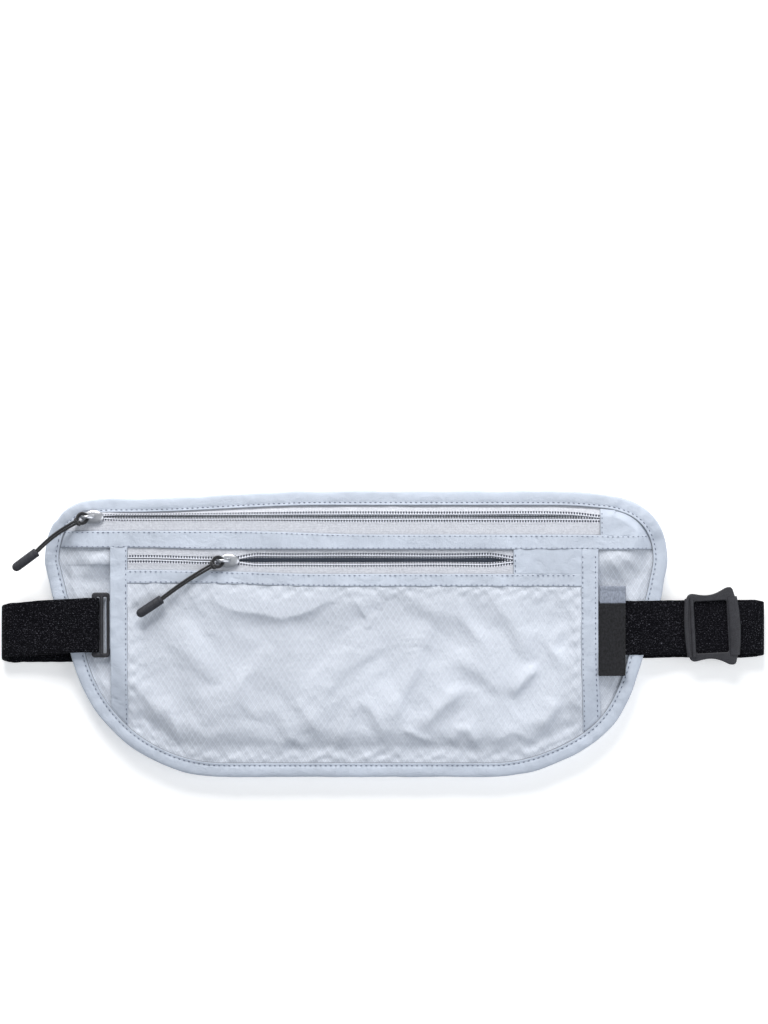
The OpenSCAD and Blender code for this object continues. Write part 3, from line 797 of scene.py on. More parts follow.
def front_cloth():
    """The pocket's front, with the folds of loose cloth sewn down all round."""
    x, y = columns(PATCH_IN_X0 - 0.6, PATCH_IN_X1 + 0.6, sewn_low, HEADER_Y0 + 0.8, 0.75, rows=113)
    flat = np.stack([x, y, np.zeros_like(x)], -1)[::2, ::2]
    edge = np.zeros(flat.shape[:2], bool)
    edge[:1] = edge[-1:] = edge[:, :1] = edge[:, -1:] = True
    moved = simulate(flat, edge, GROW, 5)
    moved = finer(moved)
    off = np.minimum.reduce([x - PATCH_IN_X0, PATCH_IN_X1 - x, HEADER_Y0 - y, inside(x, y) - BORDER_W - 1])
    ease = smooth(off / 8)
    sag = smooth(np.minimum(off, (HEADER_Y0 - y) * 0.4) / 8)
    crumple = np.clip(moved[..., 2] - np.median(moved[..., 2]), -1, 1)
    z = front_z(x, y) - 0.05
    z += (folds(x, y, FOLDS) * FOLD_RISE + crumple * CRUMPLE_RISE) * ease - SEAM_SAG * sag
    z += pucker(x, y, off, 11, 0.35, 6) * smooth(off / 1.5)
    z = np.minimum(z, front_z(x, y) + 0.2)
    grid = np.stack([x + moved[..., 0] * ease, y + moved[..., 1] * ease, z], -1)
    o = piece("pocket_front_cloth", *thick(grid, CLOTH_T), "cloth")
    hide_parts("front_panel")


def side_cloth(name, x0, x1, seed):
    """The front of the pouch beside the pocket, from the border to under the pocket's edge."""
    x, y = columns(x0, x1, lambda v: edge_y(v, TUCK, False),
                   lambda v: np.minimum(DIVIDER_Y0 + 0.8, edge_y(v, TUCK, True)), 0.7)
    z = side_z(x, y)
    free = smooth((inside(x, y) - BORDER_W) / 6) * smooth((np.abs(y - 3) - 16) / 8)
    z += (folds(x, y, SIDE_FOLDS) - 0.5 + waves(x, y, seed, 22, 0.3)) * free
    z += pucker(x, y, inside(x, y) - BORDER_W, seed + 1, 0.25)
    o = piece(name, *thick(np.stack([x, y, z], -1), CLOTH_T), "cloth")
    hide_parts("main_panel")


def band(name, node, x0, x1, y0, y1, lift, seed, ends, skirt=0, narrow=None):
    """A folded band of cloth. The ends it names (left, right, low, high) turn down to what it lies on. A
    skirt turns its left (-1) or right (1) end down to the cloth beside the pocket."""
    x, y = columns(x0, x1, y0, y1, 0.5)
    if narrow:
        x = x * narrow(y)
    z = front_z(x, y) + lift * smooth((inside(x, y) - BORDER_W - 0.3) / 1.6)
    z = z + waves(x, y, seed, 9, 0.1) + waves(x, y * 0.3, seed + 50, 5, 0.06)
    # The UV's V: mm from the named ends, where the hem-shaded look paints shade in the crease.
    edge = np.full(x.shape, FAR)
    for end, off in (("left", x - x[:1]), ("right", x[-1:] - x), ("low", y - y[:, :1]),
                     ("high", y[:, -1:] - y)):
        if end in ends:
            edge = np.minimum(edge, off)
    z = np.minimum(z - lift * 1.3 * (1 - np.clip(edge / 0.45, 0, 1)) ** 2, PLANE_Z + 0.45)
    grid = np.stack([x, y, z], -1)
    if skirt:
        down = side_skirt(grid[0 if skirt < 0 else -1], skirt)
        plain = np.full(down.shape[:2], FAR)
        grid = np.concatenate([down, grid] if skirt < 0 else [grid, down[::-1]])
        edge = np.concatenate([plain, edge] if skirt < 0 else [edge, plain])
    o = piece(name, *thick(grid, BAND_T), "hemmed", v=np.tile(edge.ravel(), 2))
    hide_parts(node)


def bands():
    """The sewn bands that frame the zips and the pocket."""
    half = edge_x(DIVIDER_Y1, SEWN_INSET)

    def narrow(y):
        return edge_x(y[:1], SEWN_INSET) / half

    band("left_band", "left_side_band", PATCH_X0, PATCH_IN_X0, sewn_low, DIVIDER_Y0 + 0.6, 0.35, 21,
         "right", skirt=-1)
    band("right_band", "right_side_band", PATCH_IN_X1, PATCH_X1, sewn_low, DIVIDER_Y0 + 0.6, 0.35, 22,
         "left", skirt=1)
    band("zip_divider", "zip_divider_band", -half, half, DIVIDER_Y0, DIVIDER_Y1, 0.35, 23,
         "low high", narrow=narrow)
    band("pocket_header", "front_header_band", PATCH_IN_X0 - 0.5, PATCH_IN_X1 + 0.5, HEADER_Y0, HEADER_Y1,
         0.25, 24, "low high")
    band("lower_zip_end_tab", "lower_zip_right_tab", LOWER_X1, PATCH_IN_X1 + 0.5, HEADER_Y1 - 0.4,
         DIVIDER_Y0 + 0.4, 0.1, 25, "left")


def side_skirt(edge, side):
    """Rows of points that turn the pocket's outer edge down to the cloth beside it."""
    x, y, z = edge.T
    floor_z = np.minimum(side_z(x + side * 0.6, y) + 0.1, z)
    rows = []
    for t in (1.0, 0.82, 0.62, 0.42, 0.24, 0.1, 0.03):
        bulge = side * (0.25 * math.sin(t * math.pi / 2) - 0.1 * t)
        rows.append(np.stack([x + bulge, y, z + (floor_z - z) * t ** 1.4], 1))
    return np.array(rows)


def rim_point(base, inset, dz):
    """Points of the border at an inset from its edge, dz above its height, with its gathers."""
    ahead = np.roll(base, -1, 0) - np.roll(base, 1, 0)
    normal = np.stack([-ahead[:, 1], ahead[:, 0]], 1) / np.linalg.norm(ahead, axis=1, keepdims=True)
    x, y = base.T
    wobble = waves(x, y, 31, 7, 0.2) + waves(x, y, 32, 30, 0.3)
    share = 1 - abs(inset - 3) / 5
    xy = base + normal * (inset + waves(x, y, 33, 16, 0.12)[:, None] * (inset < 3))
    return np.column_stack([xy, border_z(x, y) + dz + wobble * share])


def border():
    """The border: a flat rolled flange all round, gathered a little by its stitches. Its section runs from
    its inner lip over the top to the outline, and back below."""
    section = [(BORDER_W + 0.75, -0.75), (BORDER_W + 0.8, -0.25), (BORDER_W + 0.6, 0.05),
               (BORDER_W + 0.2, 0.16), (BORDER_W - 0.3, 0.08), (STITCH_INSET, -0.14),
               (STITCH_INSET - 0.6, 0.06), (4.0, 0.16), (2.4, 0.14), (1.0, 0.0), (0.35, -0.3), (0.0, -0.85),
               (0.3, -1.4), (1.0, -1.65), (2.6, -1.7), (4.4, -1.7), (BORDER_W + 0.9, -1.6)]
    base = outline(0, 0.8)
    grid = np.array([rim_point(base, inset, dz) for inset, dz in section]).transpose(1, 0, 2)
    n, m = grid.shape[:2]
    faces = []
    for i in range(n):
        k = (i + 1) % n
        for j in range(m):
            faces.append([i * m + j, i * m + (j + 1) % m, k * m + (j + 1) % m, k * m + j])
    # The UV's V: mm from the inner lip, where the edge-shaded look paints a dark line of shade in the
    # groove.
    lip = np.array([0, 0, 0.2, 0.6, 1.1] + [FAR] * (m - 5), float)
    o = piece("edge_border", grid.reshape(-1, 3), faces, "edge_shaded", v=np.tile(lip, n))
    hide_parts("edge_binding")

def back_z(x, y):
    """The back: it hangs from the border and rests on the strap."""
    top = border_z(x, y) - 1.3
    low = BACK[0][2] + 0.15
    d = inside(x, y) - BORDER_W
    dents = np.abs(waves(x, y, 41, 34, 0.7)) * smooth(d / 12)
    return top + (low - top) * smooth((d + 1.5) / 15) ** 0.8 + dents


def back():
    """The back, against the wearer, in one sheet."""
    x, y = columns(-POUCH_W / 2 + 6.5, POUCH_W / 2 - 6.5, sewn_low, sewn_high, 1.6)
    z = back_z(x, y) + pucker(x, y, inside(x, y) - BORDER_W, 42, 0.25)
    o = piece("back_cloth", *thick(np.stack([x, y, z + CLOTH_T], -1), CLOTH_T), "cloth")
    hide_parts("back_panel")


def partition():
    """The wall between the two pockets, seen through their mouths, between the front and the back. Its dark
    colour is painted shade for the inside of the pockets.
    """
    x0, x1, top_y, inset = PATCH_IN_X0 - 0.8, PATCH_IN_X1 + 0.8, DIVIDER_Y0 + 1, BORDER_W + 4
    x, y = columns(x0, x1, lambda v: edge_y(v, inset, False), top_y, 2.0)
    off = np.minimum.reduce([x - x0, x1 - x, top_y - y, inside(x, y) - inset])
    high, low = PLANE_Z - 1.0, PARTITION[0][2] + 0.5
    z = high + (low - high) * smooth(off / 5) + waves(x, y, 51, 30, 0.3)
    z = np.maximum(np.minimum(z, front_z(x, y) - 3.4), back_z(x, y) + 0.9)
    o = piece("pocket_partition_cloth", *thick(np.stack([x, y, z], -1), CLOTH_T), "lining")
    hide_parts("pocket_partition")


# ---- stitches ----


STITCH_PITCH, STITCH_LENGTH, STITCH_R, STITCH_SINK = 2.35, 1.15, 0.21, 0.05
# A stitch's rings: their places as shares of its length, and their size and height as shares of its radius.
STITCH_RINGS = [(-0.5, 0.25, -0.6), (-0.3, 0.9, 0.2), (0.0, 1.0, 0.45), (0.3, 0.9, 0.2), (0.5, 0.25, -0.6)]


def unit(v):
    return v / max(np.linalg.norm(v), 1e-6)


def stitches(name, rows, look="thread"):
    """Rows of single stitches along lines of points that already lie on the cloth."""
    points, faces = [], []
    corners = [2 * math.pi * k / 6 for k in range(6)]
    for row in rows:
        run = run_along(row)

        def at(s):
            return np.array([np.interp(min(s, run[-1]), run, values) for values in row.T])

        for s in np.arange(STITCH_PITCH / 2, run[-1] - STITCH_PITCH / 2, STITCH_PITCH):
            place = at(s)
            ahead = unit(at(s + 0.6) - place)
            across = unit(np.cross([0, 0, 1], ahead))
            up = np.cross(ahead, across)
            twist = rng.normal(0, 0.05)
            along = ahead * math.cos(twist) + across * math.sin(twist)
            across = across * math.cos(twist) - ahead * math.sin(twist)
            faces += bar_faces(len(STITCH_RINGS), len(corners), len(points))
            for t, fat, rise in STITCH_RINGS:
                middle = place + along * t * STITCH_LENGTH + up * (rise * STITCH_R - STITCH_SINK)
                for a in corners:
                    points.append(middle + (across * math.cos(a) + up * math.sin(a) * 0.8) * STITCH_R * fat)
    return piece(name, points, faces, look)


def seam(x0, y0, x1, y1, lift):
    """A straight line laid on the front, lift above it, with points about 1 mm apart."""
    count = int(max(abs(x1 - x0), abs(y1 - y0))) + 2
    x, y = np.linspace(x0, x1, count), np.linspace(y0, y1, count)
    return np.column_stack([x, y, front_z(x, y) + lift])


def all_stitches():
    """Every row of stitches that shows."""
    rim = rim_point(outline(0, 0.8), STITCH_INSET, 0.02)
    stitches("border_stitches", [np.concatenate([rim, rim[:1]])])
    x0, x1 = PATCH_IN_X0, PATCH_IN_X1
    low0, low1 = edge_y(x0, BORDER_W, False), edge_y(x1, BORDER_W, False)
    stitches("side_band_stitches", [
        seam(x0 - 0.9, low0 + 1, x0 - 0.9, DIVIDER_Y0, 0.38),
        seam(x1 + 0.9, low1 + 1, x1 + 0.9, DIVIDER_Y0, 0.38),
        seam(PATCH_X1 - 1.2, low1 + 8, PATCH_X1 - 1.2, DIVIDER_Y0, 0.38)])
    half = edge_x(DIVIDER_Y0 + 3, BORDER_W + 1)
    rows = [seam(-half, y, half, y, 0.38) for y in (DIVIDER_Y0 + 0.9, DIVIDER_Y1 - 0.9)]
    stitches("divider_stitches", rows, "pale_thread")
    rows = [seam(x0, y, x1, y, 0.28) for y in (HEADER_Y0 + 0.9, HEADER_Y1 - 0.9)]
    stitches("header_stitches", rows, "pale_thread")
    stitches("end_tab_stitches", [
        seam(LOWER_X1 + 1, HEADER_Y1, LOWER_X1 + 1, DIVIDER_Y0, 0.13),
        seam(UPPER_X1 + 1, DIVIDER_Y1, UPPER_X1 + 1, TOP_Y - BORDER_W - 1, 0.2)])


# ---- zips ----

TAPE_DROP, ROLL_W = 0.3, 2.2
# The tape's rolled edge and its underside: mm from the edge, and mm above the tape.
TAPE_ROLL = [(1.15, -1.3), (0.45, -1.25), (0.08, -0.9), (0.0, -0.4), (0.1, 0.0), (0.4, 0.2), (0.8, 0.2),
             (1.05, 0.04), (1.25, -0.03), (1.45, 0.04), (1.75, 0.1), (ROLL_W, 0.02)]
TAPE_UNDER = [(ROLL_W, -0.5), (1.5, -0.62)]
COIL_PITCH = 1.25
# How far behind the slider the closed chain has parted.
PARTING = 14.0


def half_tape(name, xs, gap, line_y, outer_y, drop, under, body):
    """Half a zip: tape from under a band to the edge, which is rolled round the coil. The gap, the edge's
    drop and the depth under the closed chain vary along x."""
    side = 1 if outer_y > line_y else -1
    width = abs(outer_y - line_y) - gap
    section = [(np.full_like(xs, u), np.full_like(xs, h)) for u, h in TAPE_ROLL]
    for r in np.linspace(0, 1, 7)[1:]:
        section.append((ROLL_W + (width - ROLL_W) * r, np.full_like(xs, 0.02 - 0.1 * r)))
    section.append((width, np.full_like(xs, -0.5)))
    section += [(np.full_like(xs, u), np.full_like(xs, h)) for u, h in TAPE_UNDER]
    u, h = np.array(section).transpose(1, 2, 0)
    x = np.broadcast_to(xs[:, None], u.shape)
    y = line_y + side * (gap[:, None] + u)
    away = np.clip(u / width[:, None], 0, 1)
    top = front_z(x, y) - TAPE_DROP - under[:, None] - drop[:, None] * (1 - away) ** 1.5
    return sweep(name, np.stack([x, y, top + h + waves(x, y, 61, 14, 0.04)], -1), "tape", body, v=u)


def coil(name, xs, gap, line_y, side, drop, body, reach):
    """The coil's turns under the tape's rolled edge, which show as small teeth along it."""
    points, faces = [], []
    corners = [2 * math.pi * k / 6 for k in range(6)]
    for x in np.arange(xs[0] + COIL_PITCH, xs[-1], COIL_PITCH):
        g, d, out = (np.interp(x, xs, values) for values in (gap, drop, reach))
        rings = [(-out, 0.16, 0.35), (0.1 - out, 0.3, 0.3), (0.2, 0.36, -0.1), (0.75, 0.36, -0.15),
                 (1.1, 0.2, -0.15)]
        middle = float(front_z(x, line_y)) - TAPE_DROP - d - 0.72
        faces += bar_faces(len(rings), len(corners), len(points))
        for u, r, rise in rings:
            y = line_y + side * (g + u)
            points += [(x + r * 0.95 * math.cos(a), y, middle + rise + r * math.sin(a)) for a in corners]
    return piece(name, points, faces, "coil", body)


def zip_pair(zone, x0, slider_x, x1, line_y, low_y, high_y, mouth):
    """One zip. Its two halves lie open all along it. Over them, the closed chain reaches from its start to
    the slider, and parts behind it."""
    whole = np.linspace(x0, x1, int((x1 - x0) / 0.7))
    chain = np.linspace(x0, slider_x + PARTING, int((slider_x + PARTING - x0) / 0.5))
    parted = smooth((chain - slider_x - 1) / (PARTING - 1))
    ends = smooth((x1 + 1.5 - whole) / 16)
    wander = 1 + waves(whole, 0, 71, 60, 0.16) * smooth((whole - slider_x - PARTING) / 20)
    for half, side, outer_y, wide, sink in (("top", 1, high_y, mouth * 1.15, 0.55),
                                            ("bottom", -1, low_y, mouth * 0.85, 0.3)):
        under, reach = np.full_like(whole, 0.2), np.full_like(whole, 0.55)
        stretches = (
            ("open", "root", whole, 0.04 + wide * ends * wander, sink * ends, under, reach),
            ("closed", None, chain, 0.04 + wide * parted, sink * parted, 0.18 * parted,
             0.65 * parted - 0.1),
        )
        for stretch, rides, xs, gap, drop, under, reach in stretches:
            tape, teeth = zone + "_zip_tape_" + half, zone + "_zip_coil_" + half
            pair = (half_tape(tape + "_" + stretch, xs, gap, line_y, outer_y, drop, under, rides),
                    coil(teeth + "_" + stretch, xs, gap, line_y, side, drop + under, rides, reach))
            for o, node in zip(pair, (tape, teeth)):
                if stretch == "closed":
                    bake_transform(o)
                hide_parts(node)


def zips():
    zip_pair("upper", UPPER_X0, UPPER_SLIDER_X, UPPER_X1 + 2, UPPER_ZIP_Y, DIVIDER_Y1 - 1.2,
             TOP_Y - BORDER_W + 0.8, 0.7)
    zip_pair("lower", LOWER_X0 - 1, LOWER_SLIDER_X, LOWER_X1 + 2, LOWER_ZIP_Y, HEADER_Y1 - 1.2,
             DIVIDER_Y0 + 1.2, 1.5)


def upper_tabs():
    """Both ends of the upper zip, from the divider to the border: a sewn tab, and the tape's own end."""
    def top(x):
        return np.maximum(edge_y(x, TUCK, True), DIVIDER_Y1)

    reach = edge_x(DIVIDER_Y1, TUCK)
    band("upper_zip_end_tab", "upper_zip_right_tab", UPPER_X1, reach, DIVIDER_Y1 - 0.5, top,
         0.18, 26, "left")
    x, y = columns(-reach, UPPER_X0 + 0.5, DIVIDER_Y1 - 0.7, top, 0.7)
    points, faces = thick(np.stack([x, y, front_z(x, y) - TAPE_DROP], -1), BAND_T)
    o = piece("upper_zip_start_tab", points, faces, "tape", v=np.full(len(points), 5.0))
    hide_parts("upper_zip_left_tab")


# ---- strap ----

STRAP_W, STRAP_T = 25.0, 1.1
STRAP_END_L, STRAP_END_R = STRAP[0][0], STRAP[1][0]
STRAP_Y = (GLIDE[0][1] + GLIDE[1][1]) / 2 - 0.2
# Heights of the strap's middle: behind the pouch, beside it, on its front and in the adjuster.
BACK_Z, RUN_Z, SEAM_Z, TAIL_LOW_Z, TAIL_HIGH_Z = 0.62, 7.05, 9.15, 3.15, 5.65
RING_Y, RING_Z = (RING[0][1] + RING[1][1]) / 2, RING_PIVOT[2]
# Where two lengths of the strap meet beside the pouch, and the loop's outer bar.
LEFT_JOIN_X, RING_BAR_X = -152.0, RING[0][0] + 1.1


def ribbon(name, line, seed, body="root"):
    """A length of strap whose middle follows line, thin across its run and wide along Y."""
    line[:, 2] = np.maximum(line[:, 2], BACK_Z)
    across = np.array([0, 1.0, 0])
    up = np.cross(headings(line), across)
    up /= np.linalg.norm(up, axis=1, keepdims=True)
    # half of the section, as shares of the half width and of the thickness
    half = [(-1, 0), (-0.985, 0.33), (-0.95, 0.46)]
    half += [(share, 0.5) for share in np.linspace(-0.8, 0.8, 9)] + [(0.95, 0.46), (0.985, 0.33)]
    stations = []
    for s, q in half + [(-s, -q) for s, q in half]:
        run = np.arange(len(line)) + 300 * (s > 0)
        fray = (waves(run, 0, seed, 5, 0.06) + waves(run, 0, seed, 28, 0.1)) * (abs(s) > 0.9)
        stations.append(line + across * (s * STRAP_W / 2 + np.sign(s) * fray)[:, None] + up * (q * STRAP_T))
    return sweep(name, np.array(stations).transpose(1, 0, 2), "elastic", body)


def half_turn(x, y0, y1, z0, z1, side, count=14):
    """Points round a fold at x, from the height z0 to z1, that bulges to the given side."""
    a = np.linspace(-math.pi / 2, math.pi / 2, count)
    r = (z1 - z0) / 2
    middle = (z0 + z1) / 2
    return [(x + side * abs(r) * math.cos(v), y0 + (y1 - y0) * i / (count - 1), middle + r * math.sin(v))
            for i, v in enumerate(a)]


def strap():
    """The elastic strap, in three lengths: the long run behind the pouch, the fold round the plastic loop,
    and the tail round the adjuster's middle bar."""
    left_y, right_y = -1.6, 0.9
    run = [(107.0, 2.0, SEAM_Z), (118, 2.1, SEAM_Z), (128, 2.2, SEAM_Z + 0.05), (135.5, 2.3, SEAM_Z + 0.1),
           (140.5, 2.4, SEAM_Z - 1.1)]
    run += [(x, STRAP_Y, RUN_Z) for x in (145.5, 152, 165, 177)]
    run += half_turn(STRAP_END_R - (RUN_Z - BACK_Z) / 2 - 0.6, STRAP_Y, right_y, RUN_Z, BACK_Z, 1)
    run += [(x, y, BACK_Z) for x, y in ((160, 0.7), (100, 0.1), (0, -0.6), (-100, -1.0),
                                        (LEFT_JOIN_X, left_y))]
    o = ribbon("waist_strap_run", spline(run), 81)
    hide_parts("waist_strap")

    outer_z = 7.0
    fold = [(LEFT_JOIN_X + 1.5, left_y, BACK_Z + 0.02), (LEFT_JOIN_X - 3, left_y, BACK_Z)]
    fold += half_turn(STRAP_END_L + (outer_z - BACK_Z) / 2 + 0.6, left_y, 1.0, BACK_Z, outer_z, -1)
    fold += [(-158, 1.3, outer_z + 0.1), (-155, 1.5, outer_z + 0.3), (-151, 1.9, outer_z + 0.7),
             (-147, 2.3, 8.35), (-141, 2.7, 9.5), (-134, 3.1, 10.9), (-128, 3.4, 11.75)]
    # round the loop's bar
    fold += [(x, RING_Y, z) for x, z in ((-123.5, 12.05), (-121.2, 11.95), (-119.9, 11.3), (-119.62, 10.6),
                                         (-120.1, 9.75), (-121.5, 9.35), (-125, 9.4))]
    fold += [(-129, 3.3, 9.5), (-134, 3.0, 9.2), (-140, 2.6, 8.2), (-146, 2.2, 7.15),
             (LEFT_JOIN_X + 1.5, 1.9, 6.4)]
    o = ribbon("strap_ring_end", spline(fold, 0.9), 82, None)
    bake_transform(o)
    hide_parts("strap_ring_loop")

    bar_x = node_box("strap_tail_loop")[0][0] + 0.55
    tail = [(175.5, 1.8, 2.75), (172, 2.2, TAIL_LOW_Z)]
    tail += [(x, STRAP_Y, z) for x, z in (
        (167, TAIL_LOW_Z), (bar_x + 1.6, TAIL_LOW_Z), (bar_x + 0.25, TAIL_LOW_Z + 0.55),
        (bar_x, (TAIL_LOW_Z + TAIL_HIGH_Z) / 2), (bar_x + 0.25, TAIL_HIGH_Z - 0.55),
        (bar_x + 1.6, TAIL_HIGH_Z), (168, TAIL_HIGH_Z - 0.1))]
    tail += [(171, 2.4, TAIL_HIGH_Z - 0.7), (174, 2.3, TAIL_HIGH_Z - 1.4)]
    o = ribbon("strap_tail", spline(tail, 0.9), 83, "adjuster")
    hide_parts("strap_tail_loop")


# ---- plates and moulded parts ----


def plate(name, outlines, z0, z1, bevel, look, body):
    """A flat part with rounded edges. The first outline is its rim, the others are its windows."""
    curve = bpy.data.curves.new(name, "CURVE")
    curve.dimensions = "2D"
    curve.fill_mode = "BOTH"
    curve.extrude = ((z1 - z0) / 2 - bevel) * MM
    curve.bevel_depth = bevel * MM
    curve.bevel_resolution = 3
    curve.offset = -bevel * MM
    for points in outlines:
        poly(curve, [(x, y, 0) for x, y in points]).use_cyclic_u = True
    holder = bpy.data.objects.new(name + "_curve", curve)
    bpy.context.scene.collection.objects.link(holder)
    graph = bpy.context.evaluated_depsgraph_get()
    made = bpy.data.meshes.new_from_object(holder.evaluated_get(graph))
    points = np.array([v.co for v in made.vertices]) / MM + [0, 0, (z0 + z1) / 2]
    faces = [list(p.vertices) for p in made.polygons]
    bpy.data.objects.remove(holder)
    bpy.data.curves.remove(curve)
    bpy.data.meshes.remove(made)
    return piece(name, points, faces, look, body)


def poly(curve, points):
    """Adds straight stretches through points in mm to a curve."""
    s = curve.splines.new("POLY")
    s.points.add(len(points) - 1)
    for point, place in zip(s.points, points):
        point.co = (*(np.array(place) * MM), 1)
    return s


def bar(name, sections, look, body):
    """A bar through sections, each a centre and the half sizes across (x, z), run along Y."""
    a = np.linspace(0, 2 * math.pi, 14, endpoint=False)
    c, s = (np.sign(wave) * np.abs(wave) ** 0.6 for wave in (np.cos(a), np.sin(a)))
    stations = [np.stack([x + rx * c, np.full(14, y), z + rz * s], 1) for (x, y, z), (rx, rz) in sections]
    return sweep(name, np.array(stations), look, body)


def join(name, parts):
    """Several meshes as one piece, named and riding as the first."""
    first = parts[0]
    mesh = bmesh.new()
    for o in parts:
        mesh.from_mesh(o.data)
    mesh.to_mesh(first.data)
    mesh.free()
    for o in parts[1:]:
        bpy.data.objects.remove(o)
    first.name = name
    return first


def rounded_box(x0, x1, y0, y1, r, count=6):
    out = []
    corners = ((x1 - r, y1 - r, 0), (x0 + r, y1 - r, 90), (x0 + r, y0 + r, 180), (x1 - r, y0 + r, 270))
    for cx, cy, a in corners:
        for k in range(count + 1):
            b = math.radians(a + 90 * k / count)
            out.append((cx + r * math.cos(b), cy + r * math.sin(b)))
    return out


def ring():
    """The plastic loop at the pouch's left edge, with two slots between three bars, and its cloth tube."""
    low, high = RING
    x, y0, y1 = RING_PIVOT[0], low[1], high[1]
    bar_x0, bar_x1 = -118.9, -117.2
    outlines = [rounded_box(low[0], x + 0.7, y0, y1, 1.6),
                rounded_box(low[0] + 2.2, bar_x0, y0 + 2, y1 - 2, 0.5, 3),
                rounded_box(bar_x1, x - 0.7, y0 + 2, y1 - 2, 0.5, 3)]
    loop = plate("belt_loop", outlines, RING_Z - 0.7, RING_Z + 0.7, 0.5, "plastic", "ring")
    ridge = [(((bar_x0 + bar_x1) / 2, y, RING_Z + 0.45), (0.62, 0.62))
             for y in np.linspace(y0 + 1.4, y1 - 1.4, 12)]
    o = join("belt_loop", [loop, bar("ridge", ridge, "plastic", "ring")])
    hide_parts("belt_ring")

    keeper_low, keeper_high = node_box("ring_keeper")
    a = np.radians(np.linspace(150, 400, 22))
    wall = [(1.2, v) for v in a] + [(0.95, v) for v in a[::-1]]
    grid = [[(x + r * math.cos(v), y, RING_Z + r * math.sin(v)) for r, v in wall]
            for y in np.linspace(keeper_low[1], keeper_high[1], 24)]
    o = sweep("loop_keeper", np.array(grid), "trim")
    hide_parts("ring_keeper")


GLIDE_TILT, MIDDLE_BAR_X = math.radians(3), 163.0
# Half of the adjuster's outline, from the middle of the left bar round the lower ears to the middle of the
# right bar: the share of the width, and mm below the middle.
GLIDE_HALF = [(0.0, 0), (0.01, 6), (0.035, 11), (0.06, 13.6), (0.09, 15), (0.14, 15.7), (0.2, 15.6),
              (0.3, 15.05), (0.4, 14.75), (0.5, 14.95), (0.6, 15.7), (0.7, 16.95), (0.76, 17.75),
              (0.81, 18), (0.86, 17.75), (0.885, 16.9), (0.9, 15.4), (0.935, 12), (0.975, 7), (1.0, 0)]


def adjuster():
    """The sliding adjuster: two side bars over the strap, and a middle bar below it that holds the tail."""
    low, high = GLIDE
    cx, cy = (low[0] + high[0]) / 2, (low[1] + high[1]) / 2
    left, right, top = low[0], high[0], high[2]
    half = spline([(left + t * (right - left), -h, 0) for t, h in GLIDE_HALF], 0.7)[:, :2]
    rim = [(x, cy + h) for x, h in half] + [(x, cy - h) for x, h in half[-2:0:-1]]
    window = rounded_box(left + 5.0, right - 6.2, cy - 12.0, cy + 12.0, 1.0)
    parts = [plate("glide", [rim, window], top - 1.95, top - 0.8, 0.5, "plastic", "adjuster")]
    ys = np.linspace(-13.6, 13.6, 17)
    bulged = list(zip(ys, 1 - (ys / 14) ** 2))
    bars = [
        [((left + 3.9, cy + y, top - 0.75), (0.85, 0.62)) for y in ys],
        [((left + 1.9 - 0.9 * b, cy + y, top - 0.85), (1.05, 0.62)) for y, b in bulged],
        [((right - 3.6 + 0.7 * b, cy + y, top - 0.95), (2.2 + 0.5 * b, 0.62 + 0.3 * b)) for y, b in bulged],
        [((MIDDLE_BAR_X, cy + y, 4.4), (1.5, 0.62)) for y in np.linspace(-13.9, 13.9, 9)],
    ]
    # at each end of the middle bar, a rail up to the plate and a leg down from it
    for side in (-1, 1):
        y = cy + side * 13.7
        rail = ((-0.9, 8.2, 3.4), (0, 6.6, 2.6), (0.2, 5.2, 2.0))
        bars.append([((MIDDLE_BAR_X, y - side * inward, z), (rx, 0.75)) for inward, z, rx in rail])
        leg = [[(MIDDLE_BAR_X + 2.0 * math.cos(a) * f, y + side * 0.1 + 0.8 * math.sin(a), z)
                for a in np.linspace(0, 2 * math.pi, 12, endpoint=False)]
               for z, f in ((8.6, 1.5), (7, 1.15), (5, 0.95), (3.8, 0.85))]
        parts.append(sweep("leg", np.array(leg), "plastic", "adjuster"))
    parts += [bar("bar", sections, "plastic", "adjuster") for sections in bars]
    o = join("adjuster_frame", parts)
    # the plate lies a little turned on the strap, and the middle bar below doesn't
    c, s = math.cos(GLIDE_TILT), math.sin(GLIDE_TILT)
    for v in o.data.vertices:
        dx, dy = v.co.x / MM - cx, v.co.y / MM - cy
        share = smooth((v.co.z / MM - 5) / 3)
        v.co.x = (cx + dx + (dx * c - dy * s - dx) * share) * MM
        v.co.y = (cy + dy + (dx * s + dy * c - dy) * share) * MM
    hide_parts("tri_glide")


# ---- label ----


LABEL_T, LABEL_DROOP, LABEL_SEAM = 0.45, math.radians(10), 0.6


def label():
    """The folded side label, blank, sewn under the pocket's edge and drooping over the strap."""
    for name, node, look, seed, tuck in (("label_lower", "label_flap", "label", 91, LABEL_SEAM),
                                         ("label_upper", "label_fold", "label_grey", 92, 0.1)):
        low, high = node_box(node)
        x, y = columns(low[0] - tuck, high[0], low[1], high[1], 0.5)
        t = np.clip((x - low[0]) / (high[0] - low[0]), 0, 1)
        droop = math.tan(LABEL_DROOP) * (x - low[0])
        z = LABEL_PIVOT[2] + 0.35 - droop + 0.35 * np.sin(math.pi * t) + waves(x, y, seed, 22, 0.12)
        z -= 0.5 * np.clip((low[0] + LABEL_SEAM - x) / (2 * LABEL_SEAM), 0, 1)
        if node == "label_fold":
            z -= 0.25
            z += 0.16 * smooth((y - high[1] + 2.0) / 0.3) - 0.1 * smooth((low[1] + 0.9 - y) / 0.4)
        else:
            z += 0.12 * smooth((y - high[1] + 0.7) / 0.3) + 0.1 * smooth((low[1] + 0.7 - y) / 0.3)
        x = x + waves(x, y, seed + 5, 18, 0.12) * t
        o = piece(name, *thick(np.stack([x, y, z], -1), LABEL_T), look, "label")
        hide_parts(node)


# ---- sliders and pulls ----


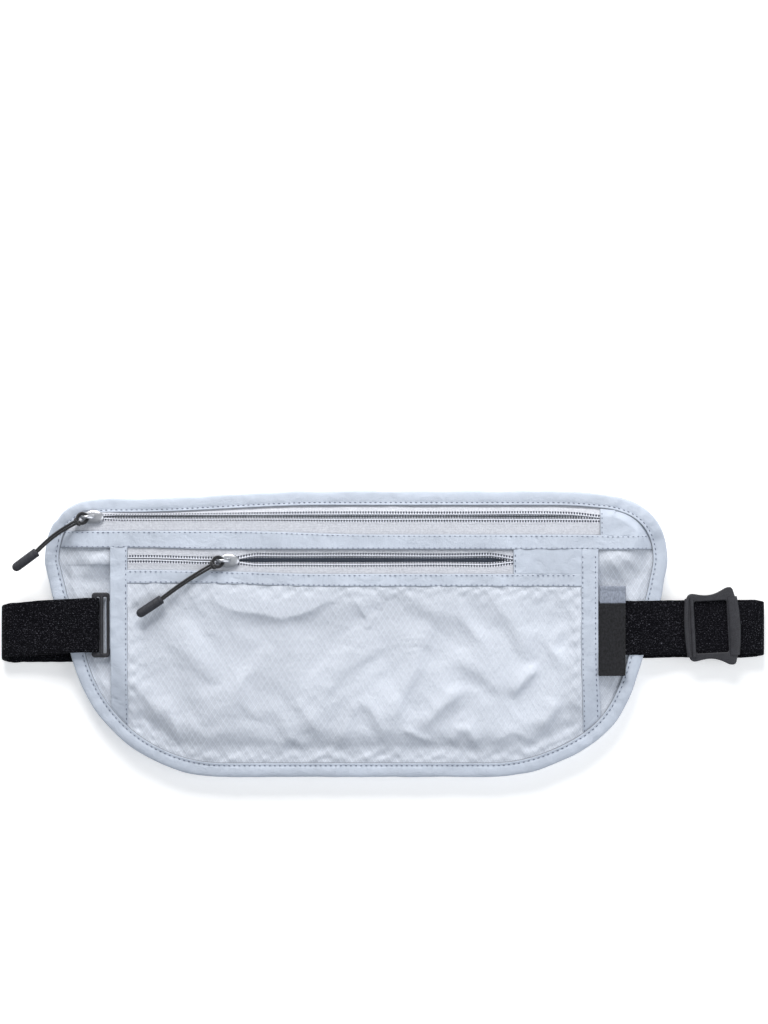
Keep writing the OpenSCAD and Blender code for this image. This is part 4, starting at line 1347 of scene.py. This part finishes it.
# The slider: the height of its upper plate, the plate's rings as mm above that and shares of its outline,
# and the bail's line as mm along the zip from the slider's centre and heights.
PLATE_Z = 13.4
PLATE_RINGS = [(-0.5, 0.98), (0, 1.0), (0.35, 1.0), (0.65, 0.94), (0.85, 0.82), (1.05, 0.6), (1.12, 0.3)]
BAIL_LINE = [(-4.9, 13.9), (-5.15, 14.9), (-4.6, 16.1), (-3.6, 16.65), (-2.2, 16.6), (-0.6, 15.9),
             (0.7, 14.9), (1.2, 14.2)]


def slider(zone, x, y, body):
    """A zip slider: a domed drop-shaped plate, a plate under the tape, a post, and a bail for the pull."""
    def drop(scale, flat=1.0):
        """The plate's outline, broad at the mouth and narrow at the tail."""
        out = []
        for a in np.linspace(0, 2 * math.pi, 40, endpoint=False):
            c, s = math.cos(a), math.sin(a)
            width = 3.25 - max(-c, 0) ** 1.5
            out.append((x + 5.35 * c * scale, y + width * s * scale * flat))
        return out

    rings = [[(px, py, PLATE_Z + rise) for px, py in drop(scale)] for rise, scale in PLATE_RINGS]
    top = sweep("plate", np.array(rings), "metal", body)
    under_rim = [(px - 0.6, py) for px, py in drop(0.76, 0.86)]
    under = plate("under", [under_rim], 10.15, 11.05, 0.3, "metal", body)
    post_rim = rounded_box(x + 1.4, x + 3.4, y - 0.3, y + 0.3, 0.25, 4)
    post = plate("post", [post_rim], 10.6, 13.7, 0.1, "metal", body)
    line = spline([(x + px, y, pz) for px, pz in BAIL_LINE], 0.35)
    up = headings(line) @ [[0, 0, 1], [0, 0, 0], [-1, 0, 0]]
    half_width = 0.62 + 0.5 * smooth(np.linspace(0, 1, len(line)) * 1.4 - 0.4)
    stations = [[p + u * 0.35 * math.sin(v) + np.array([0, w * math.cos(v), 0])
                 for v in np.linspace(0, 2 * math.pi, 12, endpoint=False)]
                for p, u, w in zip(line, up, half_width)]
    bail = sweep("bail", np.array(stations), "metal", body)
    o = join(zone + "_slider_body", [top, under, post, bail])
    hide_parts(zone + "_zip_slider")


def tube(name, line, r, look, body):
    """A round cord through a line of points."""
    line = np.asarray(line)
    along = headings(line)
    side = np.cross(along, [0, 0, 1.0])
    side /= np.maximum(np.linalg.norm(side, axis=1, keepdims=True), 1e-6)
    up = np.cross(side, along)
    corners = np.linspace(0, 2 * math.pi, 10, endpoint=False)
    stations = [[p + (s * math.cos(v) + u * math.sin(v)) * r for v in corners]
                for p, s, u in zip(line, side, up)]
    return sweep(name, np.array(stations), look, body)


# How high a pull lies, how much it rises to its tip, and the rubber tip's rings: mm along it, and radius.
PULL_Z, PULL_RISE = 15.3, 0.5
TIP = [(0.0, 0.9), (0.0, 1.85), (0.12, 2.04), (0.35, 2.12), (1.6, 2.1), (1.8, 2.04), (2.0, 2.1), (4, 2.12),
       (8, 2.12), (11.4, 2.1), (12.3, 1.93), (12.95, 1.55), (13.4, 0.98), (13.6, 0.3)]


def pull(zone, eye, angle, reach, bend, swivel, body):
    """A pull: the cord's hitch round the slider's bail, its two strands, and the rubber tip that holds
    their ends. Reach is mm from the eye to the tip, and bend how far the strands curve aside."""
    a = math.radians(angle)
    ahead, left = np.array([math.cos(a), math.sin(a), 0]), np.array([-math.sin(a), math.cos(a), 0])
    centre = np.array([eye[0], eye[1], PULL_Z])

    def at(along, aside, up=0.0):
        return centre + ahead * along + left * aside + np.array([0, 0, up])

    loop = [at(1.1 + 2.35 * math.cos(t), 2.2 * math.sin(t), 0.1 + 0.05 * math.cos(t))
            for t in np.linspace(0.2, 2 * math.pi - 0.2, 40)]
    wrap = [at(3.75 + 0.5 * math.sin(t), 1.45 * math.cos(t), 0.95 * math.sin(t) + 0.15)
            for t in np.linspace(-0.6, math.pi + 0.6, 24)]
    hitch = tube(zone + "_hitch", loop, 0.78, "cord", swivel)
    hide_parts(zone + "_pull_knot")
    tube(zone + "_hitch_wrap", wrap, 0.75, "cord", body)

    start, end = 2.6, reach + 1.5

    def strand(s, aside):
        share = (s - start) / (end - start)
        across = aside * (1 - 0.28 * share) + bend * math.sin(math.pi * share)
        return at(s, across, PULL_RISE * share - 0.25 * math.sin(math.pi * share))

    runs = np.linspace(start, end, 16)
    line = [strand(s, 0.62) for s in runs]
    line += [at(end + 0.75 * math.sin(t), 0.45 * math.cos(t), PULL_RISE) for t in (0.8, 1.57, 2.34)]
    line += [strand(s, -0.62) for s in runs[::-1]]
    line = np.array(line)
    curve = bpy.data.curves.new(zone + "_pull_cord", "CURVE")
    curve.dimensions = "3D"
    curve.bevel_depth = 0.56 * MM
    curve.bevel_resolution = 3
    curve.use_fill_caps = True
    curve.resolution_u = 4
    poly(curve, line)
    cord = link(zone + "_pull_strands", curve, "cord", body)
    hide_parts(zone + "_pull_cord")

    stations = [[at(reach + s, 0, PULL_RISE) + left * r * math.cos(v) + np.array([0, 0, r * math.sin(v)])
                 for v in np.linspace(0, 2 * math.pi, 24, endpoint=False)] for s, r in TIP]
    tip = sweep(zone + "_tip", np.array(stations), "rubber", body)
    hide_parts(zone + "_pull_tip")


def pulls():
    pull("upper", EYE_UPPER, 216.5, 27.0, -1.3, "upper_swivel", "upper_pull")
    pull("lower", EYE_LOWER, 213.5, 32.0, -0.7, "lower_swivel", "lower_pull")


# ---- making it all ----

front_cloth()
side_cloth("side_cloth_left", -POUCH_W / 2 + TUCK + 0.05, PATCH_X0 + 1.0, 101)
side_cloth("side_cloth_right", PATCH_X1 - 1.0, POUCH_W / 2 - TUCK - 0.05, 102)
bands()
upper_tabs()
border()
back()
partition()
all_stitches()
zips()
strap()
ring()
adjuster()
label()
slider("upper", UPPER_SLIDER_X, UPPER_ZIP_Y, "upper_slider")
slider("lower", LOWER_SLIDER_X, LOWER_ZIP_Y, "lower_slider")
pulls()
for stop_node in ("upper_zip_stops", "lower_zip_stops"):
    stops = bpy.data.objects[stop_node]
    stops.data.materials.clear()
    stops.data.materials.append(LOOKS["metal"][1])

FLOOR_HALF, FLOOR_GAP = 3.0, 0.0003
floor_mesh = bpy.data.meshes.new("floor")
corners = [(x * FLOOR_HALF, y * FLOOR_HALF, 0) for x, y in ((-1, -1), (1, -1), (1, 1), (-1, 1))]
floor_mesh.from_pydata(corners, [], [(0, 1, 2, 3)])
floor = bpy.data.objects.new("floor", floor_mesh)
floor.location.z = -FLOOR_GAP
paper = bpy.data.materials.new("paper")
paper.use_nodes = True
for socket, value in (("Base Color", (0.9, 0.9, 0.9, 1)), ("Roughness", 0.8),
                      ("Emission Color", (1, 1, 1, 1)), ("Emission Strength", 0.35)):
    paper.node_tree.nodes["Principled BSDF"].inputs[socket].default_value = value
floor_mesh.materials.append(paper)
bpy.context.scene.collection.objects.link(floor)
